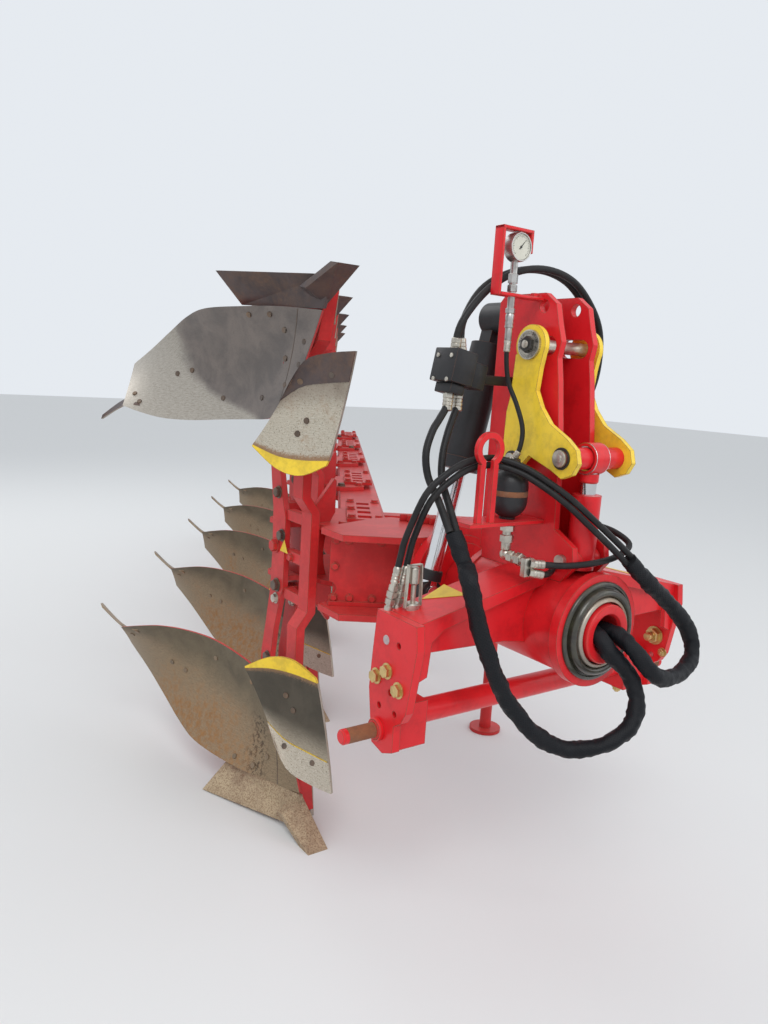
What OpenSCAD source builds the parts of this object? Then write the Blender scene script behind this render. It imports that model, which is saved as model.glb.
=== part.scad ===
// Mounted reversible plough, five furrows, parked on its lower shares
// Origin: middle of the lower link pins; +X to the plough's left, +Y to the rear, +Z up

/* [Hitch and headstock] */
// height of the lower link pins over the ground
hitch_h = 630; // [560:5:700]
// outer faces of the side plates, apart
shoulder_w = 965; // [825:5:1010]
// diameter of a lower link pin
link_pin_d = 36.6; // [28:0.1:51]
// length of a lower link pin beyond its plate
link_pin_len = 104; // [80:1:160]
// thickness of a side plate
side_t = 22; // [16:1:30]
// diameter of the cross shaft
cross_shaft_d = 60; // [48:1:76]

/* [Mast] */
// outer faces of the two mast plates, apart
mast_w = 132; // [110:1:180]
// thickness of a mast plate
mast_t = 18; // [12:1:25]
// height of the mast over the link pins
mast_h = 1052; // [900:2:1150]
// diameter of the top link pin
top_pin_d = 31.7; // [25:0.1:45]

/* [Turnover] */
// height of the turnover axis over the link pins
turn_h = 245; // [200:1:300]
// outer diameter of the turnover housing
housing_d = 256; // [200:1:270]
// outer diameter of the turnover shaft
shaft_d = 150; // [120:1:170]
// bore of the turnover shaft, for the hoses
shaft_bore = 92; // [60:1:110]
// radius of the crank pin from the turnover axis
crank_r = 174; // [150:1:200]

/* [Bodies] */
// furrows
furrows = 5; // [3:1:6]
// pitch of the bodies along the beam
pitch = 920; // [850:5:1050]
// beam's angle from the direction of travel, degrees
beam_angle = 31.4; // [20:0.1:40]
// side of the square beam
beam_w = 160; // [120:5:200]
// thickness of a mouldboard
board_t = 9; // [6:1:14]
// thickness of a leg plate
leg_t = 20; // [12:1:25]

/* [Parking stand] */
// diameter of the foot
foot_d = 130; // [100:5:200]
// diameter of the stand's leg
stand_d = 48; // [36:1:70]

/* [Hidden] */
$fn = 48;
run = 0.05;
ground = -hitch_h;
red = [0.80, 0.09, 0.10];
black = [0.09, 0.09, 0.10];
steel = [0.62, 0.62, 0.60];
worn = [0.50, 0.44, 0.38];
rust = [0.45, 0.25, 0.14];
yellow = [0.93, 0.76, 0.10];
zinc = [0.72, 0.70, 0.62];

// headstock
side_x = shoulder_w / 2;
side_profile = [[30, 288], [-123, 288], [-130, 232], [-104, 75], [-88, 48], [-62, 30],
  [-62, -36], [-24, -52], [22, -42], [34, 20], [46, 90], [40, 180]];
house_front = -222;
house_rear = 165;
flange_d = 284;
seal_d = 248;
arm_front = -112;
coupler_x = [16 - side_x, 40 - side_x];
coupler_y = 12;
coupler_lean = 12;
coupler_len = 108;
plate_top = 288;
stored_x = 62 - side_x;
arm_depth = 132;
lip = 14;
plate_in = side_x - side_t;
clamp_w = 90;
shaft_z = 20;

// mast
mast_profile = [[132, mast_h], [-10, mast_h], [-48, 1025], [-62, 975], [-76, 935], [-68, 896],
  [-78, 840], [-94, 720], [-104, 620], [-112, 480], [-176, 446], [-184, 400], [-150, 360], [-132, 300],
  [house_rear - 23, 300], [house_rear - 23, 382], [150, 382], [150, 1034]];
mast_hole = [-8, 1020];
gauge_x = -162;
gauge_y = 9;
turn_pin_y = 235;
turn_pin_z = mast_h - 52;
neck_d = 140;
eye_d = 68;
barrel_end = 412;
web_y = 112;
boss_end = 158;
turn_len = norm([crank_r, turn_pin_z - turn_h]);
turn_tilt = atan2(crank_r, turn_pin_z - turn_h);
crank_y = turn_pin_y;

// rocker
top_pin = [-12, 924];
slot_half = 48;
slot_h = 46;
rock_rear = [17, 637];
rock_front = [-148, 660];
rock_out = 105;
rock_t = 15;
rock_profile = [[36, 900], [42, 800], [52, 756], [54, 640], [40, 612], [10, 600], [-40, 655], [-118, 628],
  [-152, 612], [-184, 625], [-199, 652], [-190, 684], [-158, 708], [-100, 738], [-66, 775], [-44, 815],
  [-50, 870], [-58, 910]];
lift_seat = 36;
lift_low = [-146, turn_h + housing_d / 2 + lift_seat];
lift_len = norm(rock_front - lift_low);
lift_tilt = atan2(lift_low[0] - rock_front[0], rock_front[1] - lift_low[1]);
lift_rod_d = 40;
eye_play = 3;

// bodies
row_dir = [sin(beam_angle), cos(beam_angle)];
tip0 = [-328, 462];
beam_start = [-200, 500];
beam_len = pitch * (furrows - 1) + 620;
console_z = 108;
beam_wall = 12;
// columns: lower edge x, y, z, upper edge x, y, z, hollow
board_sections = [
  [0, 160, 115, -45, 285, 420, 8],
  [-55, 320, 104, -42, 400, 450, 25],
  [-109, 468, 104, -48, 530, 462, 40],
  [-150, 668, 108, -80, 690, 476, 44],
  [-158, 810, 132, -146, 800, 488, 38],
  [-166, 950, 182, -214, 885, 488, 28],
  [-181, 1100, 245, -270, 955, 474, 14],
  [-204, 1235, 305, -314, 1020, 456, 2]];
// narrow strips behind the boards' tails
strip_sections = [
  [-208, 963, 418, -230, 937, 462, 0],
  [-281, 1059, 428, -299, 1026, 454, 0],
  [-348, 1154, 500, -352, 1158, 516, 0]];
board_rows = 6;
skimmer_sections = [
  [-24, -70, 232, -30, 30, 540, 6],
  [-60, 0, 240, -68, 110, 548, 14],
  [-96, 70, 262, -108, 190, 545, 16],
  [-118, 120, 330, -146, 285, 520, 8]];
plate_sections = [
  [-30, 30, 540, -34, 36, 556, 0],
  [-68, 110, 548, -74, 112, 594, 0],
  [-108, 190, 545, -113, 192, 582, 0],
  [-146, 285, 520, -147, 287, 526, 0]];
leg_x = [-6, 60];
leg_y = 318;
// front and rear edge of a leg plate below the turnover axis, as y and height over the ground
leg_profile = [[318, 895], [318, 755], [335, 720], [368, 610], [385, 510], [375, 370], [360, 280],
  [445, 280], [455, 370], [452, 510], [430, 610], [405, 740], [400, 895]];
frog_profile = [[165, 40], [560, 30], [560, 130], [445, 330], [360, 330], [200, 200]];
stalk_profile = [[-3, 895], [27, 895], [27, 715], [-8, 667], [-8, 470], [-38, 470], [-38, 672], [-3, 720]];
stalk_y = 158;
stalk_depth = 60;
console_cut = [370, 240];
slot_along = [296, 386, 476, 566];

// parking stand
stand_along = 808;
stand_reach = 587;

// hose routes, chosen by hand from the photograph
sleeve_a = [[70, -238, 420], [144, -250, 358], [226, -260, 298], [292, -275, 226], [290, -300, 164], [192, -330, 136],
  [76, -350, 160], [28, -318, 218], [23, -265, 245], [23, -212, 245]];
sleeve_b = [[-364, -82, 484], [-356, -118, 420], [-375, -165, 385], [-346, -175, 286], [-304, -185, 186], [-256, -200, 98],
  [-194, -230, 22], [-128, -270, -14], [-60, -320, 0], [8, -342, 44], [40, -328, 104], [26, -304, 160], [-10, -282, 204],
  [-24, -254, 238], [-23, -212, 245]];
hose_a = [[-400, -25, 556], [-352, -38, 606], [-300, -40, 632], [-250, -42, 641], [-206, -44, 640], [-166, -82, 626],
  [-128, -124, 598], [-84, -168, 558], [-30, -205, 505], [26, -225, 458], [70, -238, 420]];
hose_b = [[-300, 50, 795], [-306, 47, 765], [-330, 40, 735], [-356, 32, 705], [-378, 22, 655], [-376, 10, 600], [-365, -24, 545],
  [-374, -82, 484]];
hose_e = [[-262, 60, 795], [-266, 57, 765], [-284, 48, 735], [-306, 36, 700], [-326, 24, 650], [-336, 8, 595], [-339, -28, 540],
  [-354, -82, 484]];
hose_c = [[-284, 45, 885], [-280, 45, 960], [-214, 50, 1045], [-118, 55, 1098], [-14, 55, 1116], [84, 55, 1098], [158, 55, 1046],
  [210, 60, 982], [232, 70, 900], [225, 80, 820], [190, 95, 740], [130, 110, 675], [66, 112, 650]];
hose_g = [[-162, 9, 930], [-162, 8, 885], [-150, 6, 830], [-138, -18, 775], [-132, -38, 720], [-140, -42, 672], [-150, -30, 642]];
hose_s = [[-170, -140.2, 410], [-92, -180, 406], [0, -202, 412], [78, -202, 424], [128, -190, 446], [124, -140, 470], [100, -90, 480], [66, -80, 480]];
hose_t = [[-170, -140.2, 388], [-134, -154, 382], [-100, -142, 381], [-66, -120, 384]];

// blend of two values
function mix(a, b, t) = a * (1 - t) + b * t;

// plate in the YZ plane, its outer face at x, growing inwards by t
module plate_yz(x, t, profile) {
  translate([x > 0 ? x - t : x, 0, 0]) rotate([90, 0, 90]) linear_extrude(t) polygon(profile);
}

// round bar along X between two places
module bar_x(x0, x1, y, z, d) {
  translate([x0, y, z]) rotate([0, 90, 0]) cylinder(h = x1 - x0, d = d);
}

// round bar along Y between two places
module bar_y(y0, y1, x, z, d) {
  translate([x, y0, z]) rotate([-90, 0, 0]) cylinder(h = y1 - y0, d = d);
}

function cubic(a, b, c, d, t) = 0.5 * (2 * b + (c - a) * t + (2 * a - 5 * b + 4 * c - d) * t * t + (3 * b - a - 3 * c + d) * t * t * t);
function smooth(p, steps) = [for (i = [0:len(p) - 2], k = [0:steps - 1])
  cubic(p[max(i - 1, 0)], p[i], p[i + 1], p[min(i + 2, len(p) - 1)], k / steps), p[len(p) - 1]];
function unit(v) = v / norm(v);
function heading(p, i) = unit(p[min(i + 1, len(p) - 1)] - p[max(i - 1, 0)]);
function carried(n, t) = unit(n - (n * t) * t);
function frames(p, n, i) = i >= len(p) ? [] : let (m = carried(n, heading(p, i))) concat([m], frames(p, m, i + 1));
function starter(t) = abs(t[2]) < 0.9 ? unit(cross(t, [0, 0, 1])) : unit(cross(t, [1, 0, 0]));

// round tube swept along a smoothed line
module tube(points, d, steps, sides) {
  line = smooth(points, steps);
  side = frames(line, starter(heading(line, 0)), 0);
  count = len(line);
  rings = [for (i = [0:count - 1], a = [0:sides - 1]) let (t = heading(line, i), u = side[i], w = cross(t, u), g = 360 * a / sides)
    line[i] + d / 2 * (cos(g) * u + sin(g) * w)];
  walls = [for (i = [0:count - 2], a = [0:sides - 1]) let (b = (a + 1) % sides)
    [i * sides + a, i * sides + b, (i + 1) * sides + b, (i + 1) * sides + a]];
  caps = [[for (a = [sides - 1:-1:0]) a], [for (a = [0:sides - 1]) (count - 1) * sides + a]];
  polyhedron(points = rings, faces = concat(walls, caps), convexity = 6);
}

module turnover_housing() {
  color(red) difference() {
    union() {
      bar_y(house_front, house_rear, 0, turn_h, housing_d);
      bar_y(house_front, house_front + 26, 0, turn_h, flange_d);
      bar_y(house_rear - 22, house_rear, 0, turn_h, flange_d - 20);
    }
    bar_y(house_front - 1, house_rear + 1, 0, turn_h, shaft_d + 2 * run);
  }
}

module seal_ring() {
  color(black) difference() {
    bar_y(house_front - 14, house_front, 0, turn_h, seal_d);
    bar_y(house_front - 20, house_front + 1, 0, turn_h, shaft_d + 6);
  }
}

module arm_shape() {
  for (s = [-1, 1]) {
    translate([0, arm_front + lip, 0]) rotate([-90, 0, 0]) linear_extrude(arm_depth - lip)
      polygon([[s * mast_w / 2, -370], [s * 130, -360], [s * plate_in, -plate_top], [s * plate_in, -196], [s * (plate_in - 40), -212],
        [s * 190, -206], [s * mast_w / 2, -186]]);
    // lip along the arm's front edge
    translate([0, arm_front, 0]) rotate([-90, 0, 0]) linear_extrude(lip + 1)
      polygon([[s * mast_w / 2, -370], [s * 130, -360], [s * plate_in, -plate_top], [s * plate_in, -150], [s * (plate_in - 26), -160],
        [s * (plate_in - 34), -240], [s * (plate_in - 66), -266], [s * 130, -332], [s * mast_w / 2, -344]]);
  }
}

module cross_arms() {
  color(red) difference() {
    arm_shape();
    bar_y(house_front - 1, house_rear + 1, 0, turn_h, housing_d);
  }
}

module side_plates() {
  color(red) difference() {
    for (s = [-1, 1])
      plate_yz(s * side_x, side_t, side_profile);
    for (hole = [[-62, 225], [-40, 105], [0, 60], [-62, 60]])
      bar_x(-side_x - 1, side_x + 1, hole[0], hole[1], 16);
    bar_x(-side_x - 1, side_x + 1, 0, 0, link_pin_d + 2 * run);
  }
}

module link_pins() {
  color(rust) for (s = [-1, 1]) {
    x_in = s * plate_in;
    x_out = s * (side_x + link_pin_len);
    bar_x(min(x_in, x_out), max(x_in, x_out), 0, 0, link_pin_d);
    bar_x(s > 0 ? side_x : -side_x - 14, s > 0 ? side_x + 14 : -side_x, 0, 0, 56);
  }
}

module cross_shaft() {
  color(red) bar_x(-plate_in, plate_in, 0, shaft_z, cross_shaft_d);
}

module shaft_clamps() {
  color(red) for (s = [-1, 1]) difference() {
    translate([s > 0 ? plate_in - clamp_w : -plate_in, -44, -44]) cube([clamp_w, 88, 112]);
    bar_x(-side_x, side_x, 0, shaft_z, cross_shaft_d + 2 * run);
  }
}

module mast_plates() {
  color(red) difference() {
    for (s = [-1, 1])
      plate_yz(s * mast_w / 2, mast_t, mast_profile);
    bar_x(-mast_w, mast_w, mast_hole[0], mast_hole[1], 32);
    // the top link pin's slot, wide enough for the rocker's swing
    translate([-mast_w, top_pin[0] - slot_half + slot_h / 2, top_pin[1] - slot_h / 2]) cube([2 * mast_w, 2 * slot_half - slot_h, slot_h]);
    for (y = [slot_h / 2 - slot_half, slot_half - slot_h / 2])
      bar_x(-mast_w, mast_w, top_pin[0] + y, top_pin[1], slot_h);
    bar_x(-mast_w, mast_w, rock_rear[0], rock_rear[1], 36 + 2 * run);
    bar_x(-mast_w, mast_w, lift_low[0], lift_low[1], 30 + 2 * run);
    bar_y(house_front - 1, 320, 0, turn_h, housing_d);
  }
}

module mast_web() {
  inner = mast_w - 2 * mast_t;
  color(red) {
    difference() {
      union() {
        translate([-inner / 2, web_y, turn_h + housing_d / 2]) cube([inner, 14, mast_h - 12 - turn_h - housing_d / 2]);
        bar_y(web_y + 14, boss_end, 0, turn_pin_z, 92);
      }
      bar_y(web_y - 1, boss_end + 1, 0, turn_pin_z, 45 + 2 * run);
    }
  }
}

module accumulator() {
  color(black) translate([-150, -30, 0]) {
    translate([0, 0, 545]) sphere(d = 92);
    translate([0, 0, 545]) cylinder(h = 36, d = 92);
    translate([0, 0, 581]) sphere(d = 92);
    translate([0, 0, 620]) cylinder(h = 22, d = 30, $fn = 6);
    translate([0, 0, 498]) cylinder(h = 12, d = 40);
  }
}

module shelf_and_hose_guide() {
  color(red) {
    translate([-310, -75, 488]) cube([310 - mast_w / 2, 86, 10]);
    for (x = [-276, -236])
      translate([x - 8, -68, 498]) cube([16, 12, 140]);
    difference() {
      translate([-256, -56, 672]) rotate([90, 0, 0]) cylinder(h = 12, d = 84);
      translate([-256, -50, 672]) rotate([90, 0, 0]) cylinder(h = 24, d = 54);
      translate([-268, -70, 620]) cube([24, 16, 40]);
    }
  }
}

module gauge_bracket() {
  color(red) difference() {
    union() {
      translate([-234, gauge_y - 15, 1032]) cube([234 - mast_w / 2, 30, 8]);
      translate([-234, gauge_y - 15, 1040]) cube([8, 30, 156]);
      translate([-234, gauge_y - 15, 1196]) cube([128, 30, 8]);
      translate([-114, gauge_y - 15, 1146]) cube([8, 30, 50]);
    }
    translate([gauge_x, gauge_y, 1030]) cylinder(h = 30, d = 18 + 2 * run);
  }
}

module pressure_gauge() {
  color(steel) translate([gauge_x, gauge_y, 0]) {
    translate([0, 9, 1146]) rotate([90, 0, 0]) cylinder(h = 30, d = 68);
    translate([0, 0, 930]) cylinder(h = 190, d = 18);
    translate([0, 0, 1062]) cylinder(h = 26, d = 24, $fn = 6);
    translate([0, 0, 960]) cylinder(h = 40, d = 24, $fn = 6);
  }
}

module valve_block() {
  color(black) {
    translate([-320, 10, 795]) cube([88, 96, 90]);
    translate([-232, 30, 810]) cube([80, 60, 50]);
    translate([-152, 60, 818]) cube([152 - mast_w / 2, 40, 24]);
  }
}

module couplers() {
  color(zinc) difference() {
    for (x = coupler_x)
      translate([x, coupler_y, plate_top - 4]) rotate([0, coupler_lean, 0]) {
        cylinder(h = 34, d = 22);
        translate([0, 0, 34]) cylinder(h = 16, d = 25, $fn = 6);
        translate([0, 0, 50]) cylinder(h = 34, d = 22);
        translate([0, 0, 84]) cylinder(h = coupler_len - 84, d = 19);
      }
    arm_shape();
    translate([-side_x - 1, -140, 100]) cube([side_t + 2, 220, plate_top - 100]);
  }
}

module stored_pin() {
  color(zinc) difference() {
    translate([stored_x, -22, plate_top - 4]) {
      cylinder(h = 112, d = 24);
      cylinder(h = 26, d = 36);
    }
    arm_shape();
  }
}

module rocker_plates() {
  color(yellow) difference() {
    union() for (s = [-1, 1]) {
      plate_yz(s * rock_out, rock_t, rock_profile);
      bar_x(s > 0 ? rock_out - rock_t : -rock_out, s > 0 ? rock_out : -rock_out + rock_t, top_pin[0], top_pin[1], 98);
    }
    bar_x(-rock_out - 1, rock_out + 1, top_pin[0], top_pin[1], top_pin_d + 2 * run);
    bar_x(-rock_out - 1, rock_out + 1, rock_rear[0], rock_rear[1], 36);
    bar_x(-rock_out - 1, rock_out + 1, rock_front[0], rock_front[1], 40);
  }
}

module rocker_tube() {
  color(red) {
    bar_x(-rock_out + rock_t, rock_out - rock_t, rock_front[0], rock_front[1], 54);
    bar_x(-rock_out - 6, rock_out + 6, rock_front[0], rock_front[1], 40);
    bar_x(-rock_out - 6, rock_out + 6, rock_rear[0], rock_rear[1], 36);
  }
}

module top_link_pin() {
  color(steel) {
    bar_x(-rock_out - 14, rock_out + 14, top_pin[0], top_pin[1], top_pin_d);
    bar_x(-rock_out - 8, -rock_out, top_pin[0], top_pin[1], 72);
    bar_x(rock_out, rock_out + 8, top_pin[0], top_pin[1], 72);
  }
}

module lift_place() {
  translate([0, lift_low[0], lift_low[1]]) rotate([lift_tilt, 0, 0]) children();
}

module lift_body() {
  union() {
    lift_place() translate([0, 0, -24]) cylinder(h = 186, d = 70);
    bar_x(-42, 42, lift_low[0], lift_low[1], 56);
  }
}

module lift_barrel() {
  color(red) difference() {
    lift_body();
    bar_x(-mast_w, mast_w, lift_low[0], lift_low[1], 30 + 2 * run);
    lift_place() translate([0, 0, 80]) cylinder(h = lift_len, d = lift_rod_d + 2 * run);
  }
}

// rod of the lift cylinder, its eye round the rocker's tube
module lift_rod() {
  color(steel) difference() {
    union() {
      lift_place() translate([0, 0, 120]) cylinder(h = lift_len - 120, d = lift_rod_d);
      bar_x(-24, 24, rock_front[0], rock_front[1], 78);
    }
    bar_x(-mast_w, mast_w, rock_front[0], rock_front[1], 54 + 2 * eye_play);
  }
}

module lift_pin() {
  color(zinc) bar_x(-mast_w / 2 - 12, mast_w / 2 + 12, lift_low[0], lift_low[1], 30);
}

// the turnover cylinder hangs at its top pin and leans to the crank
module turn_place() {
  translate([0, turn_pin_y, turn_pin_z]) rotate([0, turn_tilt, 0]) children();
}

module turn_barrel() {
  color(black) difference() {
    turn_place() {
      rotate([90, 0, 0]) translate([0, 0, -22]) cylinder(h = turn_pin_y + 20 - boss_end, d = 88);
      translate([-22, -22, -80]) cube([44, 44, 60]);
      translate([0, 0, -barrel_end]) cylinder(h = barrel_end - 75, d = 100);
      translate([0, 0, -barrel_end - 14]) cylinder(h = 34, d = 110);
    }
    bar_y(boss_end, turn_pin_y + 60, 0, turn_pin_z, 45 + 2 * run);
    turn_place() translate([0, 0, -barrel_end - 20]) cylinder(h = 260, d = 50 + 2 * run);
  }
}

// rod of the turnover cylinder, with its eye and crank pin, clear of the crank behind it
module turn_rod() {
  color(steel) {
    turn_place() translate([0, 0, -turn_len]) cylinder(h = turn_len - barrel_end + 40, d = 50);
    bar_y(crank_y - 22, crank_y + 22, -crank_r, turn_h, eye_d);
    bar_y(crank_y - 30, crank_y + 25, -crank_r, turn_h, 40);
  }
}

module turn_pin() {
  color(zinc) bar_y(web_y, turn_pin_y + 30, 0, turn_pin_z, 45);
}

module turn_shaft() {
  color(red) difference() {
    union() {
      bar_y(house_front - 16, house_rear + 4, 0, turn_h, shaft_d);
      bar_y(house_rear, 300, 0, turn_h, neck_d);
    }
    bar_y(house_front - 20, 345, 0, turn_h, shaft_bore);
  }
}

module turn_flange() {
  color(red) difference() {
    union() {
      bar_y(300, 335, 0, turn_h, 330);
      for (k = [0, 1])
        bar_y(292 - 8 * k, 301, 0, turn_h, 270 - 44 * k);
      translate([-crank_r, 300, turn_h - 55]) cube([crank_r, 35, 110]);
      bar_y(300, 335, -crank_r, turn_h, 110);
      bar_y(crank_y + 31, 301, -crank_r, turn_h, 84);
    }
    bar_y(270, 345, 0, turn_h, shaft_bore);
    bar_y(270, 300, 0, turn_h, neck_d + 2 * run);
  }
}

// row of places along the beam
module each_body() {
  for (k = [0:furrows - 1])
    translate([tip0[0] + k * pitch * row_dir[0], tip0[1] + k * pitch * row_dir[1], 0]) children();
}

// lower and upper copy about the turnover axis
module both_hands() {
  children();
  translate([0, 0, turn_h]) mirror([0, 0, 1]) translate([0, 0, -turn_h]) children();
}

module beam_place() {
  translate([beam_start[0], beam_start[1], turn_h]) rotate([0, 0, -beam_angle]) children();
}

module frame_console() {
  color(red) {
    both_hands() translate([0, 0, turn_h + console_z]) linear_extrude(20)
      polygon([[-165, 335], [165, 335], [165, 400], [-20, 640], [-90, 640], [-330, 560], [-330, 440]]);
    for (x = [-150, 92])
      translate([x, 335, turn_h - console_z]) cube([24, 60, 2 * console_z]);
  }
}

module front_box() {
  color(red) beam_place() difference() {
    union() {
      translate([-100, -10, -console_z]) cube([240, 120, 2 * console_z]);
      // end plate with its flange along the bottom
      translate([-112, -22, -console_z]) cube([264, 12, 2 * console_z]);
      translate([-112, -34, -console_z]) cube([264, 12, 14]);
    }
    translate([-beam_w / 2, 0, -beam_w / 2]) cube([beam_w, 111, beam_w]);
    translate([-112, -40, -58]) rotate([-90, 0, 0]) cylinder(h = 31, d = 44);
  }
}

module main_beam() {
  color(red) beam_place() difference() {
    translate([-beam_w / 2, 0, -beam_w / 2]) cube([beam_w, beam_len, beam_w]);
    translate([-beam_w / 2 + beam_wall, -1, -beam_w / 2 + beam_wall]) cube([beam_w - 2 * beam_wall, beam_len + 1 - beam_wall, beam_w - 2 * beam_wall]);
  }
}

module leg_brackets() {
  color(red) {
    difference() {
      both_hands() each_body() translate([0, 0, turn_h + beam_w / 2]) linear_extrude(18)
        polygon([[96, 250], [130, 200], [250, 190], [380, leg_y + 70], [300, leg_y + 240], [120, leg_y + 200], [0, leg_y + 120],
          [0, leg_y + 20], [96, leg_y]]);
      each_body() for (x = leg_x)
        translate([x - run, leg_y - 1, ground]) cube([leg_t + 2 * run, 90, 2 * (turn_h - ground)]);
    }
    // console plate, hollowed on its beam side
    each_body() difference() {
      translate([0, leg_y, turn_h]) rotate([90, 0, 0]) linear_extrude(18)
        polygon([[96, -157], [160, -241], [168, -235], [168, 235], [160, 241], [96, 157]]);
      bar_y(leg_y - 30, leg_y + 10, console_cut[0], turn_h, 2 * console_cut[1]);
    }
    // slotted plates along the beam
    both_hands() for (k = [0:furrows - 1]) beam_place() difference() {
      translate([-62, slot_along[0] - 50 + k * pitch, beam_w / 2 + 18]) cube([124, 380, 12]);
      for (a = slot_along)
        translate([-24, a + k * pitch - 22, beam_w / 2 + 17]) cube([46, 44, 14]);
    }
  }
}

module legs() {
  color(red) each_body() {
    for (x = leg_x)
      both_hands() translate([x, 0, ground]) rotate([90, 0, 90]) linear_extrude(leg_t) polygon(leg_profile);
    // ties between the leg plates and the skimmer stalk
    for (z = [-150, -20, 110])
      translate([leg_x[0] + 6, stalk_y + stalk_depth, turn_h + z]) cube([28, leg_y - stalk_y - stalk_depth, 34]);
    for (z = [-160, 120])
      translate([leg_x[0] + leg_t, leg_y + 20, turn_h + z]) cube([leg_x[1] - leg_x[0] - leg_t, 50, 40]);
  }
}

module frogs() {
  color(red) both_hands() each_body() {
    translate([leg_x[0] + leg_t, 0, ground]) rotate([90, 0, 90]) linear_extrude(leg_x[1] - leg_x[0] - leg_t) polygon(frog_profile);
    translate([-24, 236, ground + 62]) cube([leg_x[0] + leg_t + 24, 56, 60]);
    translate([-22, 344, ground + 250]) cube([leg_x[0] + leg_t + 22, 56, 24]);
  }
}

function bend(a, b, push, t) = a * (1 - t) + b * t + 4 * t * (1 - t) * [push, push * 0.35, 0];
function section(table, s) = let (k = min(floor(s), len(table) - 2), t = s - k)
  cubic(table[max(k - 1, 0)], table[k], table[k + 1], table[min(k + 2, len(table) - 1)], t);
function spot(table, s, t) = let (c = section(table, s)) bend([c[0], c[1], c[2]], [c[3], c[4], c[5]], c[6], t);

// twisted plate, lofted through the sections of a table and thickened away from the soil
module board(table, cols, rows, thick) {
  step = (len(table) - 1) / (cols - 1);
  face = [for (i = [0:cols - 1], j = [0:rows]) spot(table, i * step, j / rows)];
  back = [for (p = face) p + [thick, 0.35 * thick, 0]];
  n = cols * (rows + 1);
  w = rows + 1;
  quads = [for (i = [0:cols - 2], j = [0:rows - 1]) [i * w + j, (i + 1) * w + j, (i + 1) * w + j + 1, i * w + j + 1]];
  front = [for (q = quads) each [[q[0], q[1], q[2]], [q[0], q[2], q[3]]]];
  rear = [for (t = front) [t[2] + n, t[1] + n, t[0] + n]];
  edge = concat([for (i = [0:cols - 1]) i * w], [for (j = [1:rows]) (cols - 1) * w + j],
    [for (i = [cols - 2:-1:0]) i * w + rows], [for (j = [rows - 1:-1:1]) j]);
  rim = [for (k = [0:len(edge) - 1]) let (a = edge[k], b = edge[(k + 1) % len(edge)]) each [[a, a + n, b + n], [a, b + n, b]]];
  translate([0, 0, ground]) polyhedron(points = concat(face, back), faces = concat(front, rear, rim), convexity = 6);
}

module mouldboards_lower() {
  color(worn) each_body() board(board_sections, 9, board_rows, board_t);
}

module mouldboards_upper() {
  color(worn) translate([0, 0, turn_h]) mirror([0, 0, 1]) translate([0, 0, -turn_h])
    each_body() board(board_sections, 9, board_rows, board_t);
}

// flat plate between four corners, thickened by a vector
module slab(p, v) {
  polyhedron(points = concat(p, [for (q = p) q + v]),
    faces = [[0, 1, 2], [0, 2, 3], [6, 5, 4], [7, 6, 4], [0, 4, 5], [0, 5, 1], [1, 5, 6], [1, 6, 2], [2, 6, 7], [2, 7, 3], [3, 7, 4], [3, 4, 0]]);
}

module shares() {
  color(worn) both_hands() each_body() translate([0, 0, ground])
    slab([[-8, 92, 20], [-182, 515, 2], [-94, 505, 98], [-2, 152, 112]], [12, 2, -2]);
}

module points() {
  color(steel) both_hands() each_body() translate([0, 0, ground])
    slab([[-50, 0, 0], [-62, 150, 60], [14, 160, 100], [20, 0, 0]], [0, 40, -6]);
}

module tail_strips() {
  color(worn) both_hands() each_body() board(strip_sections, 4, 1, board_t);
}

module landsides() {
  color(steel) both_hands() each_body() translate([leg_x[1], 0, ground]) rotate([90, 0, 90]) linear_extrude(12)
    polygon([[180, 6], [760, 0], [760, 120], [200, 150]]);
}

// flat stalk in front of each leg, stepped over to its skimmers
module skimmer_stalks() {
  color(red) both_hands() each_body() {
    translate([0, stalk_y + stalk_depth, ground]) rotate([90, 0, 0]) linear_extrude(stalk_depth) polygon(stalk_profile);
    translate([-92, stalk_y + 6, ground + 484]) cube([60, 40, 40]);
  }
}

module skimmer_boards() {
  color(worn) both_hands() each_body() board(skimmer_sections, 4, 3, 8);
}

module skimmer_plates() {
  color(yellow) both_hands() each_body() board(plate_sections, 5, 1, 6);
}

module stand_arm() {
  color(red) beam_place() translate([beam_w / 2, stand_along - 35, -35]) difference() {
    cube([stand_reach - beam_w / 2 - 60, 70, 70]);
    translate([stand_reach - 200, 35, 35]) rotate([0, 90, 0]) cylinder(h = 200, d = 30 + 2 * run);
  }
}

module stand_leg() {
  color(red) beam_place() translate([stand_reach, stand_along, 0]) {
    rotate([0, 90, 0]) translate([0, 0, -45]) cylinder(h = 90, d = 80);
    rotate([0, 90, 0]) translate([0, 0, -100]) cylinder(h = 60, d = 30);
    translate([0, 0, ground - turn_h]) cylinder(h = turn_h - ground, d = stand_d);
    translate([0, 0, ground - turn_h]) cylinder(h = 14, d = foot_d);
  }
}

module sleeve_guide() {
  color(black) tube(sleeve_a, 40, 3, 10);
}

module sleeve_loop() {
  color(black) tube(sleeve_b, 40, 3, 10);
}

// hose from a coupler through the guide ring, beside its neighbour
module ring_hose(x, above) {
  last = len(hose_a) - 1;
  pair = [for (i = [0:last]) hose_a[i] + above * [mix(-7, 7, i / last), 0, 8.5]];
  out = [sin(coupler_lean), 0, cos(coupler_lean)];
  exit = [x, coupler_y, plate_top - 4] + coupler_len * out;
  color(black) tube(concat([exit, exit + 30 * out, exit + [14, -4, 70]], pair), 16, 3, 8);
}

module hose_ring_a() {
  ring_hose(coupler_x[0], 1);
}

module hose_ring_b() {
  ring_hose(coupler_x[1], -1);
}

module hose_valve_a() {
  color(black) tube(hose_b, 18, 3, 8);
}

module hose_valve_b() {
  color(black) tube(hose_e, 18, 3, 8);
}

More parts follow.
